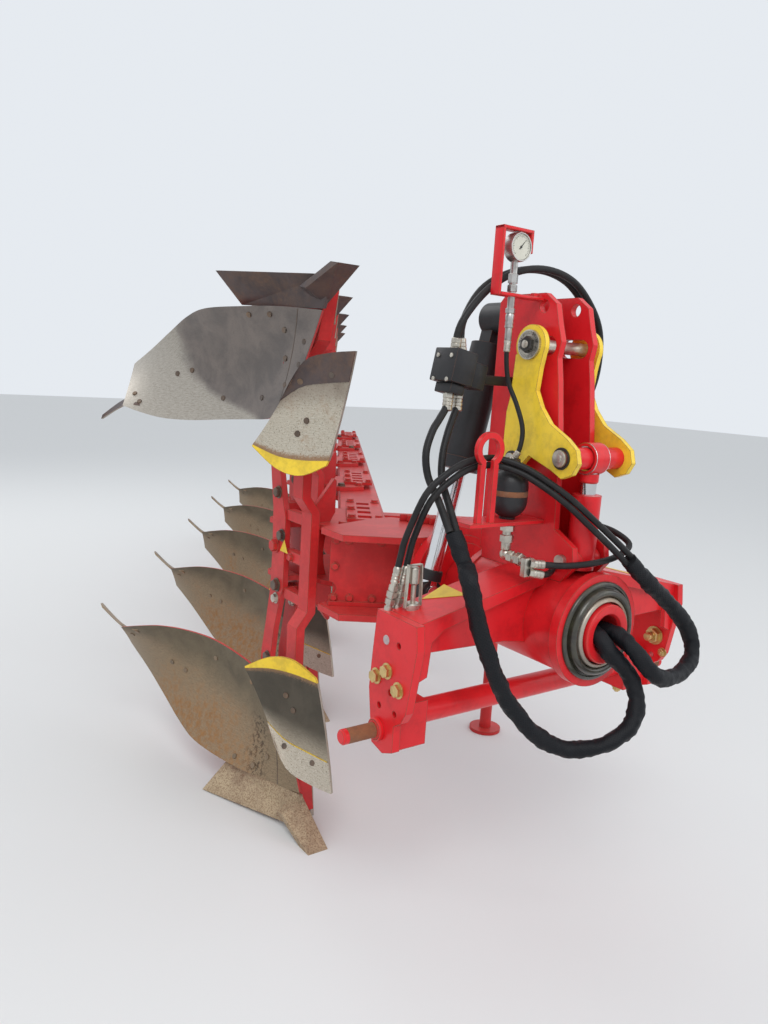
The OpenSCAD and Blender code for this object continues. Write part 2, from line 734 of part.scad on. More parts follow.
// hose over the mast, turning from beside its neighbour to behind it
module mast_hose(o) {
  last = len(hose_c) - 1;
  color(black) tube([for (i = [0:last]) let (turn = 90 * min(i / 2, 1)) hose_c[i] + o * [cos(turn), sin(turn), 0]], 18, 3, 8);
}

module hose_mast_a() {
  mast_hose(-12);
}

module hose_mast_b() {
  mast_hose(12);
}

module hose_gauge() {
  color(black) tube(hose_g, 12, 4, 8);
}

module hose_low_a() {
  color(black) tube(hose_s, 16, 3, 8);
}

module hose_low_b() {
  color(black) tube(hose_t, 16, 3, 8);
}

// steel elbow under the accumulator
module elbow_fitting() {
  color(zinc) {
    translate([-164, -50, 450]) cylinder(h = 488 - 450, d = 26);
    translate([-164, -50, 450]) sphere(d = 28);
    translate([-164, -50, 410]) cylinder(h = 40, d = 24);
    translate([-164, -50, 410]) sphere(d = 26);
    translate([-164, -126, 410]) rotate([-90, 0, 0]) cylinder(h = 76, d = 22);
    translate([-184, -140, 376]) cube([28, 16, 46]);
  }
}

turnover_housing();
seal_ring();
cross_arms();
side_plates();
link_pins();
cross_shaft();
shaft_clamps();
mast_plates();
mast_web();
accumulator();
shelf_and_hose_guide();
pressure_gauge();
gauge_bracket();
valve_block();
couplers();
stored_pin();
rocker_plates();
rocker_tube();
top_link_pin();
lift_barrel();
lift_rod();
lift_pin();
turn_barrel();
turn_rod();
turn_pin();
turn_shaft();
turn_flange();
frame_console();
front_box();
main_beam();
leg_brackets();
legs();
frogs();
mouldboards_lower();
mouldboards_upper();
shares();
points();
landsides();
tail_strips();
skimmer_stalks();
skimmer_boards();
skimmer_plates();
stand_arm();
stand_leg();
sleeve_guide();
sleeve_loop();
hose_ring_a();
hose_ring_b();
hose_valve_a();
hose_valve_b();
hose_mast_a();
hose_mast_b();
hose_gauge();
hose_low_a();
hose_low_b();
elbow_fitting();
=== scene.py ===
import bpy, bmesh, math
from mathutils import Matrix, Vector, kdtree
from mathutils.noise import noise as waver


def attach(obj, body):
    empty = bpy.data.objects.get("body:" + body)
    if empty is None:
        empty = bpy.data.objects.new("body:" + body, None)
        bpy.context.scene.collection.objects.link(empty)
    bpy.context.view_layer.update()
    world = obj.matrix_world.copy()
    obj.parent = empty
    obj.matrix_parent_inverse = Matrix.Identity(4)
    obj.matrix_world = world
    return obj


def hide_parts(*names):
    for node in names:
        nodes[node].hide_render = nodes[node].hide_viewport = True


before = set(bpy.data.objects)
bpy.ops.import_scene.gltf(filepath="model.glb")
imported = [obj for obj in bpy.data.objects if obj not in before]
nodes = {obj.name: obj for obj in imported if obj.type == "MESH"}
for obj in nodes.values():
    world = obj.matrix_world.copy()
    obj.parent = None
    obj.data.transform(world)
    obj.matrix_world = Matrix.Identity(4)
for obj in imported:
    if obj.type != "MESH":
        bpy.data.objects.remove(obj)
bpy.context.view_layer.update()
scene = bpy.context.scene
print("stage: frame loaded")

# measures shared with the frame, in millimetres: makePiece turns them into metres
ground = -630
turnHeight = 245
beamAngle = math.radians(31.4)
pitch = 920
furrows = 5
beamStart = (-200, 500)
firstTip = (-328, 462)

# camera at the photograph's place, in metres, degrees and pixels
view = {"place": (-1.522, -1.435, 0.824), "yaw": 35.372, "pitch": 9.649, "roll": -3.609, "focal": 792.134,
        "wide": 768, "sensor": 36}


def placeCamera(v):
    yaw, tilt, roll = (math.radians(v[k]) for k in ("yaw", "pitch", "roll"))
    ahead = Vector((math.sin(yaw) * math.cos(tilt), math.cos(yaw) * math.cos(tilt), -math.sin(tilt)))
    right = Vector((math.cos(yaw), -math.sin(yaw), 0))
    down = ahead.cross(right)
    across = right * math.cos(roll) + down * math.sin(roll)
    below = down * math.cos(roll) - right * math.sin(roll)
    data = bpy.data.cameras.new("camera")
    data.sensor_fit = "HORIZONTAL"
    data.sensor_width = v["sensor"]
    data.lens = v["focal"] / v["wide"] * v["sensor"]
    data.clip_start, data.clip_end = 0.05, 100
    cam = bpy.data.objects.new("camera", data)
    scene.collection.objects.link(cam)
    m = Matrix((across, -below, -ahead)).transposed().to_4x4()
    m.translation = Vector(v["place"])
    cam.matrix_world = m
    scene.camera = cam


placeCamera(view)
scene.view_settings.view_transform = "Standard"


# a node's output that sums like a number: each operator adds one Math node
class Signal:
    def __init__(self, socket):
        self.socket = socket

    def math(self, operation, a, b):
        n = self.socket.id_data.nodes.new("ShaderNodeMath")
        n.operation = operation
        put(n.inputs[0], a)
        put(n.inputs[1], b)
        return Signal(n.outputs[0])

    def __add__(self, other):
        return self.math("ADD", self, other)

    def __mul__(self, other):
        return self.math("MULTIPLY", self, other)

    def __sub__(self, other):
        return self.math("SUBTRACT", self, other)

    def __rsub__(self, other):
        return self.math("SUBTRACT", other, self)

    def most(self, other):
        return self.math("MAXIMUM", self, other)

    def held(self):  # between 0 and 1
        self.socket.node.use_clamp = True
        return self


# gives a socket a constant or another node's output
def put(socket, value):
    if isinstance(value, Signal):
        socket.id_data.links.new(value.socket, socket)
    else:
        socket.default_value = (*value, 1) if socket.type == "RGBA" and len(value) == 3 else value


# writes nodes into one tree; noise and groups read its coordinates
class Nodes:
    def __init__(self, tree, at=None):
        self.tree, self.at = tree, at

    def add(self, kind, sockets, **values):
        n = self.tree.nodes.new(kind)
        for key, value in values.items():
            setattr(n, key, value)
        for key, value in sockets.items():
            put(n.inputs[key], value)
        return n

    def ramp(self, value, low, high):
        n = self.add("ShaderNodeMapRange", {"Value": value, "From Min": low, "From Max": high},
                     interpolation_type="SMOOTHSTEP")
        return Signal(n.outputs["Result"])

    def mix(self, share, a, b):
        return Signal(self.add("ShaderNodeMix", {0: share, 6: a, 7: b}, data_type="RGBA").outputs[2])

    def noise(self, scale, detail, rough, distortion=0.0, at=None):
        n = self.add("ShaderNodeTexNoise", {"Vector": at or self.at, "Scale": scale, "Detail": detail,
                                            "Roughness": rough, "Distortion": distortion})
        return Signal(n.outputs["Fac"])

    def split(self, vector):
        parts = self.add("ShaderNodeSeparateXYZ", {0: vector}).outputs
        return {s.name: Signal(s) for s in parts}

    def use(self, group, **values):
        n = self.add("ShaderNodeGroup", {"Vector": self.at, **values}, node_tree=group)
        return {s.name: Signal(s) for s in n.outputs}

    # ends a material: what isn't given stays as newMaterial set it
    def feed(self, colour, rough=None, metal=None, height=None, strength=0.2, distance=0.001, normal=None):
        bump = self.add("ShaderNodeBump", {"Strength": strength, "Distance": distance, "Height": height})
        if normal:
            put(bump.inputs["Normal"], normal)
        sockets = {"Base Color": colour, "Roughness": rough, "Metallic": metal, "Normal": Signal(bump.outputs[0])}
        for key, value in sockets.items():
            if value:
                put(self.body.inputs[key], value)


def newGroup(name, amounts, outputs):
    g = bpy.data.node_groups.new(name, "ShaderNodeTree")
    g.interface.new_socket("Vector", in_out="INPUT", socket_type="NodeSocketVector")
    for label, value in amounts.items():
        g.interface.new_socket(label, in_out="INPUT", socket_type="NodeSocketFloat").default_value = value
    for label, kind in outputs.items():
        g.interface.new_socket(label, in_out="OUTPUT", socket_type="NodeSocket" + kind)
    given = {s.name: Signal(s) for s in g.nodes.new("NodeGroupInput").outputs}
    return g, Nodes(g, given["Vector"]), given, g.nodes.new("NodeGroupOutput").inputs


def newMaterial(name, rough, metal=0.0, **shader):
    m = bpy.data.materials.new(name)
    m.use_nodes = True
    n = Nodes(m.node_tree)
    n.body = m.node_tree.nodes["Principled BSDF"]
    n.body.inputs["Roughness"].default_value = rough
    n.body.inputs["Metallic"].default_value = metal
    for key, value in shader.items():
        n.body.inputs[key.replace("_", " ")].default_value = value
    places = m.node_tree.nodes.new("ShaderNodeTexCoord").outputs
    n.at, n.uv = Signal(places["Object"]), Signal(places["UV"])
    return m, n


# two sizes of noise as one mask, with its softness and amount
def buildBlotch():
    g, n, given, out = newGroup("blotch", {"Scale": 8.0, "Amount": 0.5, "Softness": 0.1},
                                {"Mask": "Float", "Height": "Float"})
    big = n.noise(given["Scale"], 6.0, 0.62, 0.3)
    fine = n.noise(given["Scale"] * 6.3, 5.0, 0.7)
    both = big * 0.68 + fine * 0.32
    level = 0.78 - given["Amount"] * 0.5
    put(out["Mask"], n.ramp(both, level - given["Softness"], level + given["Softness"]))
    put(out["Height"], both)
    return g


# worn edges: where a rounded normal leaves the true one
def buildEdgeWear():
    g, n, given, out = newGroup("edge wear", {"Radius": 0.003, "Amount": 0.5}, {"Mask": "Float", "Normal": "Vector"})
    soft = Signal(n.add("ShaderNodeBevel", {"Radius": given["Radius"]}, samples=4).outputs[0])
    true = Signal(n.add("ShaderNodeNewGeometry", {}).outputs["Normal"])
    same = Signal(n.add("ShaderNodeVectorMath", {0: soft, 1: true}, operation="DOT_PRODUCT").outputs["Value"])
    worn = (1.0 - same) * (n.noise(38.0, 6.0, 0.7) * given["Amount"])
    mask = n.add("ShaderNodeMapRange", {"Value": worn, "From Min": 0.035, "From Max": 0.12})
    put(out["Mask"], Signal(mask.outputs["Result"]))
    put(out["Normal"], soft)
    return g


# dust: thicker on faces that look up, broken up by noise
def buildDust():
    g, n, given, out = newGroup("dust", {"Amount": 0.4}, {"Mask": "Float"})
    up = n.split(Signal(n.add("ShaderNodeNewGeometry", {}).outputs["Normal"]))["Z"].most(0.0)
    put(out["Mask"], ((up * 0.55 + 0.35) * n.noise(14.0, 8.0, 0.68, 0.2) * given["Amount"]).held())
    return g


blotch = buildBlotch()
edgeWear = buildEdgeWear()
dustLayer = buildDust()


# painted metal: faded patches, stains, dust, and chips and worn edges down to primer and rust
def paintMaterial(name, base, **changes):
    look = {**base, **changes}
    m, n = newMaterial(name, look["rough"], Coat_Weight=look["coat"], Coat_Roughness=0.15, Specular_IOR_Level=0.3)
    fade = n.use(blotch, Scale=3.2, Amount=0.55, Softness=0.3)["Mask"]
    colour = n.mix(fade, look["colour"], look["faded"])
    stain = n.use(blotch, Scale=11.0, Amount=look["stain"], Softness=0.1)["Mask"]
    colour = n.mix(stain * 0.35, colour, look["dark"])
    dust = n.use(dustLayer, Amount=look["dust"])["Mask"]
    colour = n.mix(dust, colour, look["dustColour"])
    edge = n.use(edgeWear, Radius=0.003, Amount=look["wear"])
    chip = n.use(blotch, Scale=30.0, Amount=look["chips"], Softness=0.02)["Mask"]
    bare = edge["Mask"].most(chip)
    colour = n.mix(bare, colour, n.mix(n.noise(55.0, 5.0, 0.7), look["bareDark"], look["bareLight"]))
    rough = ((dust + bare) * 0.35 + look["rough"]).held()
    peel = n.noise(160.0, 2.0, 0.5)
    n.feed(colour, rough, None, peel * 0.25 - bare * 0.6, 0.25, 0.0006, edge["Normal"])
    return m


redLook = {"colour": (0.68, 0.006, 0.012), "faded": (0.76, 0.018, 0.026), "dark": (0.30, 0.005, 0.008), "rough": 0.33,
           "coat": 0.12, "stain": 0.42, "dust": 0.10, "dustColour": (0.50, 0.22, 0.17), "wear": 2.2, "chips": 0.06,
           "bareDark": (0.12, 0.045, 0.03), "bareLight": (0.30, 0.13, 0.07)}
redPaint = paintMaterial("red paint", redLook)
dirtyRed = paintMaterial("red paint with soil dust", redLook, faded=(0.62, 0.035, 0.035), stain=0.65, dust=0.32,
                         dustColour=(0.44, 0.20, 0.15), wear=3.0, chips=0.14, rough=0.42, coat=0.08)
yellowPaint = paintMaterial("yellow paint", redLook, colour=(0.93, 0.61, 0.02), faded=(0.96, 0.70, 0.05), coat=0.1,
                            dark=(0.30, 0.19, 0.03), dustColour=(0.60, 0.50, 0.30), dust=0.25, stain=0.5)
blackPaint = paintMaterial("black paint", redLook, colour=(0.012, 0.012, 0.014), faded=(0.03, 0.03, 0.033),
                           dark=(0.004, 0.004, 0.004), dustColour=(0.07, 0.055, 0.045), dust=0.3, coat=0.1,
                           rough=0.45, chips=0.03, wear=0.8)


# bare metal: mottled colour with rust blooms, and dried soil below where the look has it; there the high parts keep
# the darker tone, which on the upper shares is partly painted shade
def metalMaterial(name, base, **changes):
    look = {**base, **changes}
    m, n = newMaterial(name, look["rough"], 1.0)
    mottle = n.noise(look["grain"], 6.0, 0.65, 0.4)
    colour = n.mix(n.ramp(mottle, 0.35, 0.68), look["light"], look["shade"])
    # split by height: low parts take the pale speckled tone, high parts keep the darker one, which is partly painted
    # shade
    if "below" in look:
        soil = n.mix(n.ramp(n.noise(190.0, 5.0, 0.72), 0.45, 0.62), look["below"], look["belowShade"])
        colour = n.mix(n.ramp(n.split(n.at)["Z"], 0.1, 0.3), soil, colour)
    bloom = n.use(blotch, Scale=look["bloomScale"], Amount=look["bloom"], Softness=look["soft"])
    rust = bloom["Mask"]
    colour = n.mix(rust, colour, n.mix(n.noise(70.0, 5.0, 0.7), look["rustDark"], look["rustLight"]))
    rough = (rust * look["rustRough"] + look["rough"]).held()
    metal = (look["metal"] - rust * look["metal"]).held()
    edge = n.use(edgeWear, Radius=0.001, Amount=1.0)
    n.feed(colour, rough, metal, mottle * 0.4 + bloom["Height"], look["bump"], 0.0008, edge["Normal"])
    return m


zincLook = {"light": (0.62, 0.58, 0.50), "shade": (0.42, 0.39, 0.34), "rough": 0.36, "metal": 0.9, "grain": 30.0,
            "bloom": 0.25, "bloomScale": 16.0, "soft": 0.08, "rustRough": 0.4, "bump": 0.12,
            "rustDark": (0.13, 0.05, 0.028), "rustLight": (0.36, 0.14, 0.055)}
wornLook = dict(zincLook, light=(0.46, 0.41, 0.35), shade=(0.30, 0.255, 0.21), rough=0.42, metal=0.85, grain=7.0,
                bloom=0.30, bloomScale=5.0, soft=0.2, rustRough=0.3, bump=0.25,
                rustLight=(0.42, 0.24, 0.10), rustDark=(0.22, 0.12, 0.065))
zinc = metalMaterial("zinc plate", zincLook)
chrome = metalMaterial("chrome rod", zincLook, light=(0.74, 0.74, 0.74), shade=(0.70, 0.70, 0.71), rough=0.17,
                       metal=1.0, grain=20.0, bloom=0.0, bloomScale=30.0, soft=0.03, rustRough=0.5, bump=0.0)
brightSteel = metalMaterial("bright steel", zincLook, light=(0.55, 0.54, 0.52), shade=(0.36, 0.34, 0.32), rough=0.32,
                            bloom=0.15)
rustySteel = metalMaterial("rusty steel", zincLook, light=(0.30, 0.19, 0.13), shade=(0.18, 0.10, 0.07), rough=0.62,
                           metal=0.7, grain=45.0, bloom=0.75, bloomScale=18.0, soft=0.15, rustRough=0.25, bump=0.45)
wornSteel = metalMaterial("soil worn steel", wornLook)
# share steel: dark brown, partly its own tone and partly painted shade, as the upper shares face down away from the
# light; low parts take the pale tone below
shareSteel = metalMaterial("polished share steel", wornLook, light=(0.105, 0.08, 0.078), shade=(0.065, 0.05, 0.05),
                           bloom=0.42, bloomScale=9.0, rough=0.5, metal=0.4, below=(0.52, 0.40, 0.26),
                           belowShade=(0.28, 0.18, 0.10), rustDark=(0.11, 0.065, 0.045), rustLight=(0.24, 0.13, 0.075))
boltSteel = metalMaterial("dark bolt steel", wornLook, light=(0.17, 0.14, 0.12), shade=(0.09, 0.07, 0.06))
boardBoltSteel = metalMaterial("board bolt steel", wornLook, light=(0.25, 0.19, 0.13), shade=(0.17, 0.13, 0.09),
                               bloom=0.35, metal=0.4)
brass = metalMaterial("yellow passivated bolts", zincLook, light=(0.68, 0.50, 0.22), shade=(0.48, 0.33, 0.14),
                      rough=0.33, bloom=0.12)


# face steel: the UV is (s, t) along and up the face, so scoured zones follow the flow of the soil; on the skimmers the
# zones are painted shade and painted light instead, darker at the top of the face and lighter at its bottom
def boardMaterial(name, base, **changes):
    look = {**base, **changes}
    m, n = newMaterial(name, 0.45, 1.0)
    face = n.split(n.uv)
    s, t = face["X"], face["Y"]
    cloud = n.noise(look["cloud"], 6.0, 0.6, 0.4)
    past = s * look["push"] - look["start"] + t.math("POWER", t, look["power"]) * look["pull"]
    zone = n.ramp(past + (cloud - 0.5) * look["ragged"], -look["soft"], look["soft"])
    streaks = n.add("ShaderNodeMapping", {"Vector": n.uv, "Scale": (3.0, 60.0, 1.0), "Rotation": (0, 0, -0.25)})
    scratch = n.noise(2.0, 6.0, 0.75, 0.2, Signal(streaks.outputs[0]))
    mottle = n.noise(9.0, 7.0, 0.66, 0.5)
    dark = n.mix(n.ramp(mottle, 0.35, 0.66), look["dark"], look["darkShade"])
    light = n.mix(n.ramp(scratch, 0.35, 0.65), look["light"], look["lightShade"])
    speck = n.noise(240.0, 4.0, 0.7)
    colour = n.mix(n.ramp(speck, 0.55, 0.68) * look["specks"], n.mix(zone, dark, light), (0.10, 0.065, 0.04))
    bloom = n.use(blotch, Scale=look["bloomScale"], Amount=look["bloom"], Softness=0.12)["Mask"]
    rim = n.ramp(t + (speck - 0.5) * 0.12, look["rim"], look["rim"] + 0.05)
    rust = (bloom * (zone * 0.75 + 0.15)).most(rim * look["rimRust"])
    if look["belly"]:  # rust in the low middle of the face, and a dark scar near its front
        stray = (cloud - 0.5) * 1.6
        middle = n.ramp(t + stray, 0.62, 0.08) * (n.ramp(s, 0.5, 2.4) * n.ramp(s, 6.2, 4.4))
        grains = n.ramp(n.noise(46.0, 6.0, 0.75), 0.40, 0.62)
        rust = rust.most(middle * (grains * 0.75 + 0.25) * look["belly"])
        here = n.ramp(s, 0.75, 1.15) * n.ramp(s + stray, 1.75, 1.3)
        scar = here * n.ramp(t, 0.62, 0.45) * n.ramp(n.noise(85.0, 5.0, 0.7), 0.49, 0.57)
        colour = n.mix(scar * 0.85, colour, (0.045, 0.028, 0.018))
    colour = n.mix(rust, colour, n.mix(n.noise(60.0, 5.0, 0.7), look["rustDark"], look["rustLight"]))
    rough = (scratch * 0.15 + look["rough"] + rust * 0.3).held()
    n.feed(colour, rough, (look["metal"] - rust).held(), speck * 0.35 + scratch * 0.5, 0.2, 0.0006)
    return m


upperLook = {"push": 1.0, "start": 4.7, "power": 3.0, "pull": 3.2, "ragged": 1.1, "soft": 0.35, "cloud": 5.0,
             "dark": (0.235, 0.20, 0.18), "darkShade": (0.165, 0.145, 0.135), "light": (0.52, 0.48, 0.42),
             "lightShade": (0.36, 0.32, 0.27), "specks": 0.35, "bloom": 0.12, "bloomScale": 6.0, "rim": 1.2,
             "rimRust": 0.0, "rough": 0.36, "metal": 0.75, "rustDark": (0.16, 0.08, 0.05),
             "rustLight": (0.36, 0.20, 0.10), "belly": 0.0}
# skimmers: the dark zone is painted shade at the top of the face and the light zone is painted light at its bottom
skimmerLook = dict(upperLook, push=0.0, start=0.42, pull=1.0, power=1.0, ragged=0.2, soft=0.14,
                   dark=(0.34, 0.29, 0.23), darkShade=(0.25, 0.20, 0.155), light=(0.60, 0.56, 0.47),
                   lightShade=(0.44, 0.38, 0.29), specks=0.85, bloom=0.34, bloomScale=12.0, rim=0.93, rimRust=0.9,
                   rough=0.5, metal=0.25, rustDark=(0.13, 0.07, 0.04), rustLight=(0.40, 0.22, 0.10))
# the lower skimmer lies the other way up, so its painted shade is at the high edge (t near 1) and its painted light at
# the low edge; its dark tones are painted shade
lowSkimmerLook = dict(skimmerLook, start=-0.40, pull=-1.0, dark=(0.085, 0.07, 0.05), darkShade=(0.06, 0.05, 0.035))
upperSteel = boardMaterial("upper board steel", upperLook)
lowerSteel = boardMaterial("lower board steel", upperLook, push=0.06, start=-0.42, pull=-1.0, power=1.0, ragged=0.55,
                           soft=0.2, belly=1.0, dark=(0.17, 0.135, 0.085), darkShade=(0.12, 0.095, 0.06),
                           light=(0.33, 0.24, 0.145), lightShade=(0.23, 0.17, 0.105), bloom=0.2, specks=0.8,
                           rustDark=(0.19, 0.085, 0.03), rustLight=(0.42, 0.215, 0.08), metal=0.35, rough=0.46)
skimmerSteel = boardMaterial("skimmer steel", skimmerLook)
lowerSkimmerSteel = boardMaterial("lower skimmer steel", lowSkimmerLook, light=(0.40, 0.35, 0.27), specks=0.4,
                                  lightShade=(0.27, 0.225, 0.165), rim=0.95, bloom=0.15)
# the lower skimmer shares lie wholly in the light zone: partly painted light, like the low edge of the lower skimmer
lightShareSteel = boardMaterial("speckled share steel", lowSkimmerLook, start=-2.0, light=(0.58, 0.53, 0.44),
                                lightShade=(0.42, 0.36, 0.28), specks=0.9, rim=1.2, bloom=0.15)


# black rubber with a cloth impression and a dusty bloom
def rubberMaterial():
    m, n = newMaterial("hose rubber", 0.55, Specular_IOR_Level=0.22)
    weave = n.add("ShaderNodeTexWave", {"Vector": n.uv, "Scale": 0.9, "Distortion": 0.0}, bands_direction="DIAGONAL")
    colour = n.mix(n.use(dustLayer, Amount=0.5)["Mask"], (0.013, 0.013, 0.014), (0.05, 0.044, 0.04))
    scuff = n.use(blotch, Scale=18.0, Amount=0.4, Softness=0.12)["Mask"]
    colour = n.mix(scuff * 0.4, colour, (0.06, 0.055, 0.05))
    n.feed(colour, (scuff * 0.3 + 0.42).held(), None, Signal(weave.outputs["Fac"]), 0.35, 0.0004)
    return m


# woven nylon sleeve: crossed diagonal strands
def sleeveMaterial():
    m, n = newMaterial("woven hose sleeve", 0.5, Specular_IOR_Level=0.22)
    strands = []
    for turn in (0.785, -0.785):
        spin = n.add("ShaderNodeMapping", {"Vector": n.uv, "Rotation": (0, 0, turn)})
        wave = n.add("ShaderNodeTexWave", {"Vector": Signal(spin.outputs[0]), "Scale": 0.62, "Distortion": 0.3})
        strands.append(Signal(wave.outputs["Fac"]))
    weave = strands[0].most(strands[1])
    colour = n.mix(weave, (0.0015, 0.0018, 0.003), (0.006, 0.007, 0.010))
    colour = n.mix(n.noise(260.0, 3.0, 0.6) * 0.08, colour, (0.03, 0.03, 0.035))
    colour = n.mix(n.use(dustLayer, Amount=0.12)["Mask"], colour, (0.05, 0.045, 0.04))
    n.feed(colour, None, None, weave, 0.5, 0.0012)
    return m


# flat tones with a little mottle, for small parts
def toneMaterial(name, tone, shade, rough, scale=60.0, bump=0.1, **shader):
    m, n = newMaterial(name, rough, 0.0, **shader)
    mottle = n.noise(scale, 5.0, 0.65, 0.3)
    colour = n.mix(n.ramp(mottle, 0.35, 0.7), tone, shade)
    colour = n.mix(n.use(dustLayer, Amount=0.25)["Mask"], colour, (0.3, 0.25, 0.2))
    n.feed(colour, (mottle * 0.25 + (rough - 0.1)).held(), None, mottle, bump, 0.0006)
    return m


greasySeal = toneMaterial("greasy olive seal", (0.035, 0.034, 0.018), (0.008, 0.007, 0.006), 0.28, 42.0, 0.5,
                          Coat_Weight=0.4)
greasyBlack = toneMaterial("greasy black washers", (0.02, 0.018, 0.016), (0.006, 0.005, 0.005), 0.3, 60.0, 0.4)
palePlug = toneMaterial("pale plug", (0.5, 0.42, 0.42), (0.38, 0.3, 0.3), 0.6)
dialCream = toneMaterial("cream dial", (0.62, 0.60, 0.50), (0.56, 0.54, 0.45), 0.4, 30.0, 0.02, Coat_Weight=0.8,
                         Coat_Roughness=0.05)
inkBlack = toneMaterial("dial ink", (0.01, 0.01, 0.012), (0.02, 0.02, 0.02), 0.5)
labelYellow = toneMaterial("blank yellow label", (0.86, 0.60, 0.02), (0.70, 0.47, 0.03), 0.4, 25.0, 0.05)
hoseRubber = rubberMaterial()
sleeveCloth = sleeveMaterial()
print("stage: materials built")

# hoses, as their solids lie: node, diameter and route
couplers = {"x": (-466.5, -442.5), "y": 12, "base": 284, "length": 108, "lean": math.radians(12)}
hoses = {
    "sleeveGuide": ("sleeve_guide", 40, [
        (70, -238, 420), (144, -250, 358), (226, -260, 298), (292, -275, 226), (290, -300, 164), (192, -330, 136),
        (76, -350, 160), (28, -318, 218), (23, -265, 245), (23, -212, 245)]),
    "sleeveLoop": ("sleeve_loop", 40, [
        (-364, -82, 484), (-356, -118, 420), (-375, -165, 385), (-346, -175, 286), (-304, -185, 186), (-256, -200, 98),
        (-194, -230, 22), (-128, -270, -14), (-60, -320, 0), (8, -342, 44), (40, -328, 104), (26, -304, 160),
        (-10, -282, 204), (-24, -254, 238), (-23, -212, 245)]),
    "valveHoseA": ("hose_valve_a", 18, [
        (-300, 50, 795), (-306, 47, 765), (-330, 40, 735), (-356, 32, 705), (-378, 22, 655), (-376, 10, 600),
        (-365, -24, 545), (-374, -82, 484)]),
    "valveHoseB": ("hose_valve_b", 18, [
        (-262, 60, 795), (-266, 57, 765), (-284, 48, 735), (-306, 36, 700), (-326, 24, 650), (-336, 8, 595),
        (-339, -28, 540), (-354, -82, 484)]),
    "gaugeHose": ("hose_gauge", 12, [
        (-162, 9, 930), (-162, 8, 885), (-150, 6, 830), (-138, -18, 775), (-132, -38, 720), (-140, -42, 672),
        (-150, -30, 642)]),
    "lowHoseA": ("hose_low_a", 16, [
        (-170, -140.2, 410), (-92, -180, 406), (0, -202, 412), (78, -202, 424), (128, -190, 446), (124, -140, 470),
        (100, -90, 480), (66, -80, 480)]),
    "lowHoseB": ("hose_low_b", 16, [(-170, -140.2, 388), (-134, -154, 382), (-100, -142, 381), (-66, -120, 384)]),
}
mastRoute = [(-284, 45, 885), (-280, 45, 960), (-214, 50, 1045), (-118, 55, 1098), (-14, 55, 1116), (84, 55, 1098),
             (158, 55, 1046), (210, 60, 982), (232, 70, 900), (225, 80, 820), (190, 95, 740), (130, 110, 675),
             (66, 112, 650)]
ringRoute = [(-400, -25, 556), (-352, -38, 606), (-300, -40, 632), (-250, -42, 641), (-206, -44, 640),
             (-166, -82, 626), (-128, -124, 598), (-84, -168, 558), (-30, -205, 505), (26, -225, 458), (70, -238, 420)]
for letter, apart in (("A", -12), ("B", 12)):  # side by side at first, then one behind the other
    turns = [math.radians(90 * min(k / 2, 1)) for k in range(len(mastRoute))]
    route = [(x + apart * math.cos(a), y + apart * math.sin(a), z) for a, (x, y, z) in zip(turns, mastRoute)]
    hoses["mastHose" + letter] = ("hose_mast_" + letter.lower(), 18, route)
for letter, x, side in (("A", couplers["x"][0], 1), ("B", couplers["x"][1], -1)):
    last = len(ringRoute) - 1
    out = Vector((math.sin(couplers["lean"]), 0, math.cos(couplers["lean"])))
    start = Vector((x, couplers["y"], couplers["base"])) + couplers["length"] * out
    route = [start, start + 30 * out, start + Vector((14, -4, 70))]
    route += [Vector(p) + side * Vector((-7 + 14 * k / last, 0, 8.5)) for k, p in enumerate(ringRoute)]
    hoses["ringHose" + letter] = ("hose_ring_" + letter.lower(), 16, route)

# how the cloth sleeves fold: waves a metre, and depth in metres
folds = {"big": 22, "fine": 75, "bigDeep": 0.0042, "fineDeep": 0.0030, "ends": 10, "core": 0.004}


def catmull(a, b, c, d, t):
    return 0.5 * (2 * b + (c - a) * t + (2 * a - 5 * b + 4 * c - d) * t * t + (3 * b - a - 3 * c + d) * t * t * t)


# a route in millimetres as a smooth line in metres
def smoothLine(points, steps):
    p = [Vector(v) / 1000 for v in points]
    line = []
    for i in range(len(p) - 1):
        for k in range(steps):
            line.append(catmull(p[max(i - 1, 0)], p[i], p[i + 1], p[min(i + 2, len(p) - 1)], k / steps))
    return line + [p[-1]]


# an object at the origin that rides on a body, and stands for a node of the frame if one is named
def place(name, mesh, body, material, node=None):
    o = bpy.data.objects.new(name, mesh)
    scene.collection.objects.link(o)
    for m in material if isinstance(material, tuple) else (material,):
        mesh.materials.append(m)
    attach(o, body)
    if node:
        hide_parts(node)
    return o


# loose cloth: folds across the sleeve that come and go along it
def foldSleeve(mesh, line, runs):
    tree = kdtree.KDTree(len(line))
    for k, p in enumerate(line):
        tree.insert(p, k)
    tree.balance()
    for v in mesh.vertices:
        at, k, far = tree.find(v.co)
        if far < folds["core"]:
            continue
        out = (v.co - at).normalized()
        fade = min(1.0, k / folds["ends"], (len(line) - 1 - k) / folds["ends"])
        big = waver(Vector((runs[k] * folds["big"], out.x * 1.3, out.z * 1.3 + out.y)))
        fine = waver(Vector((runs[k] * folds["fine"], out.x * 2.6 + out.z, out.y * 2.6 + 9)))
        v.co += out * fade * (folds["bigDeep"] * big + folds["fineDeep"] * fine)


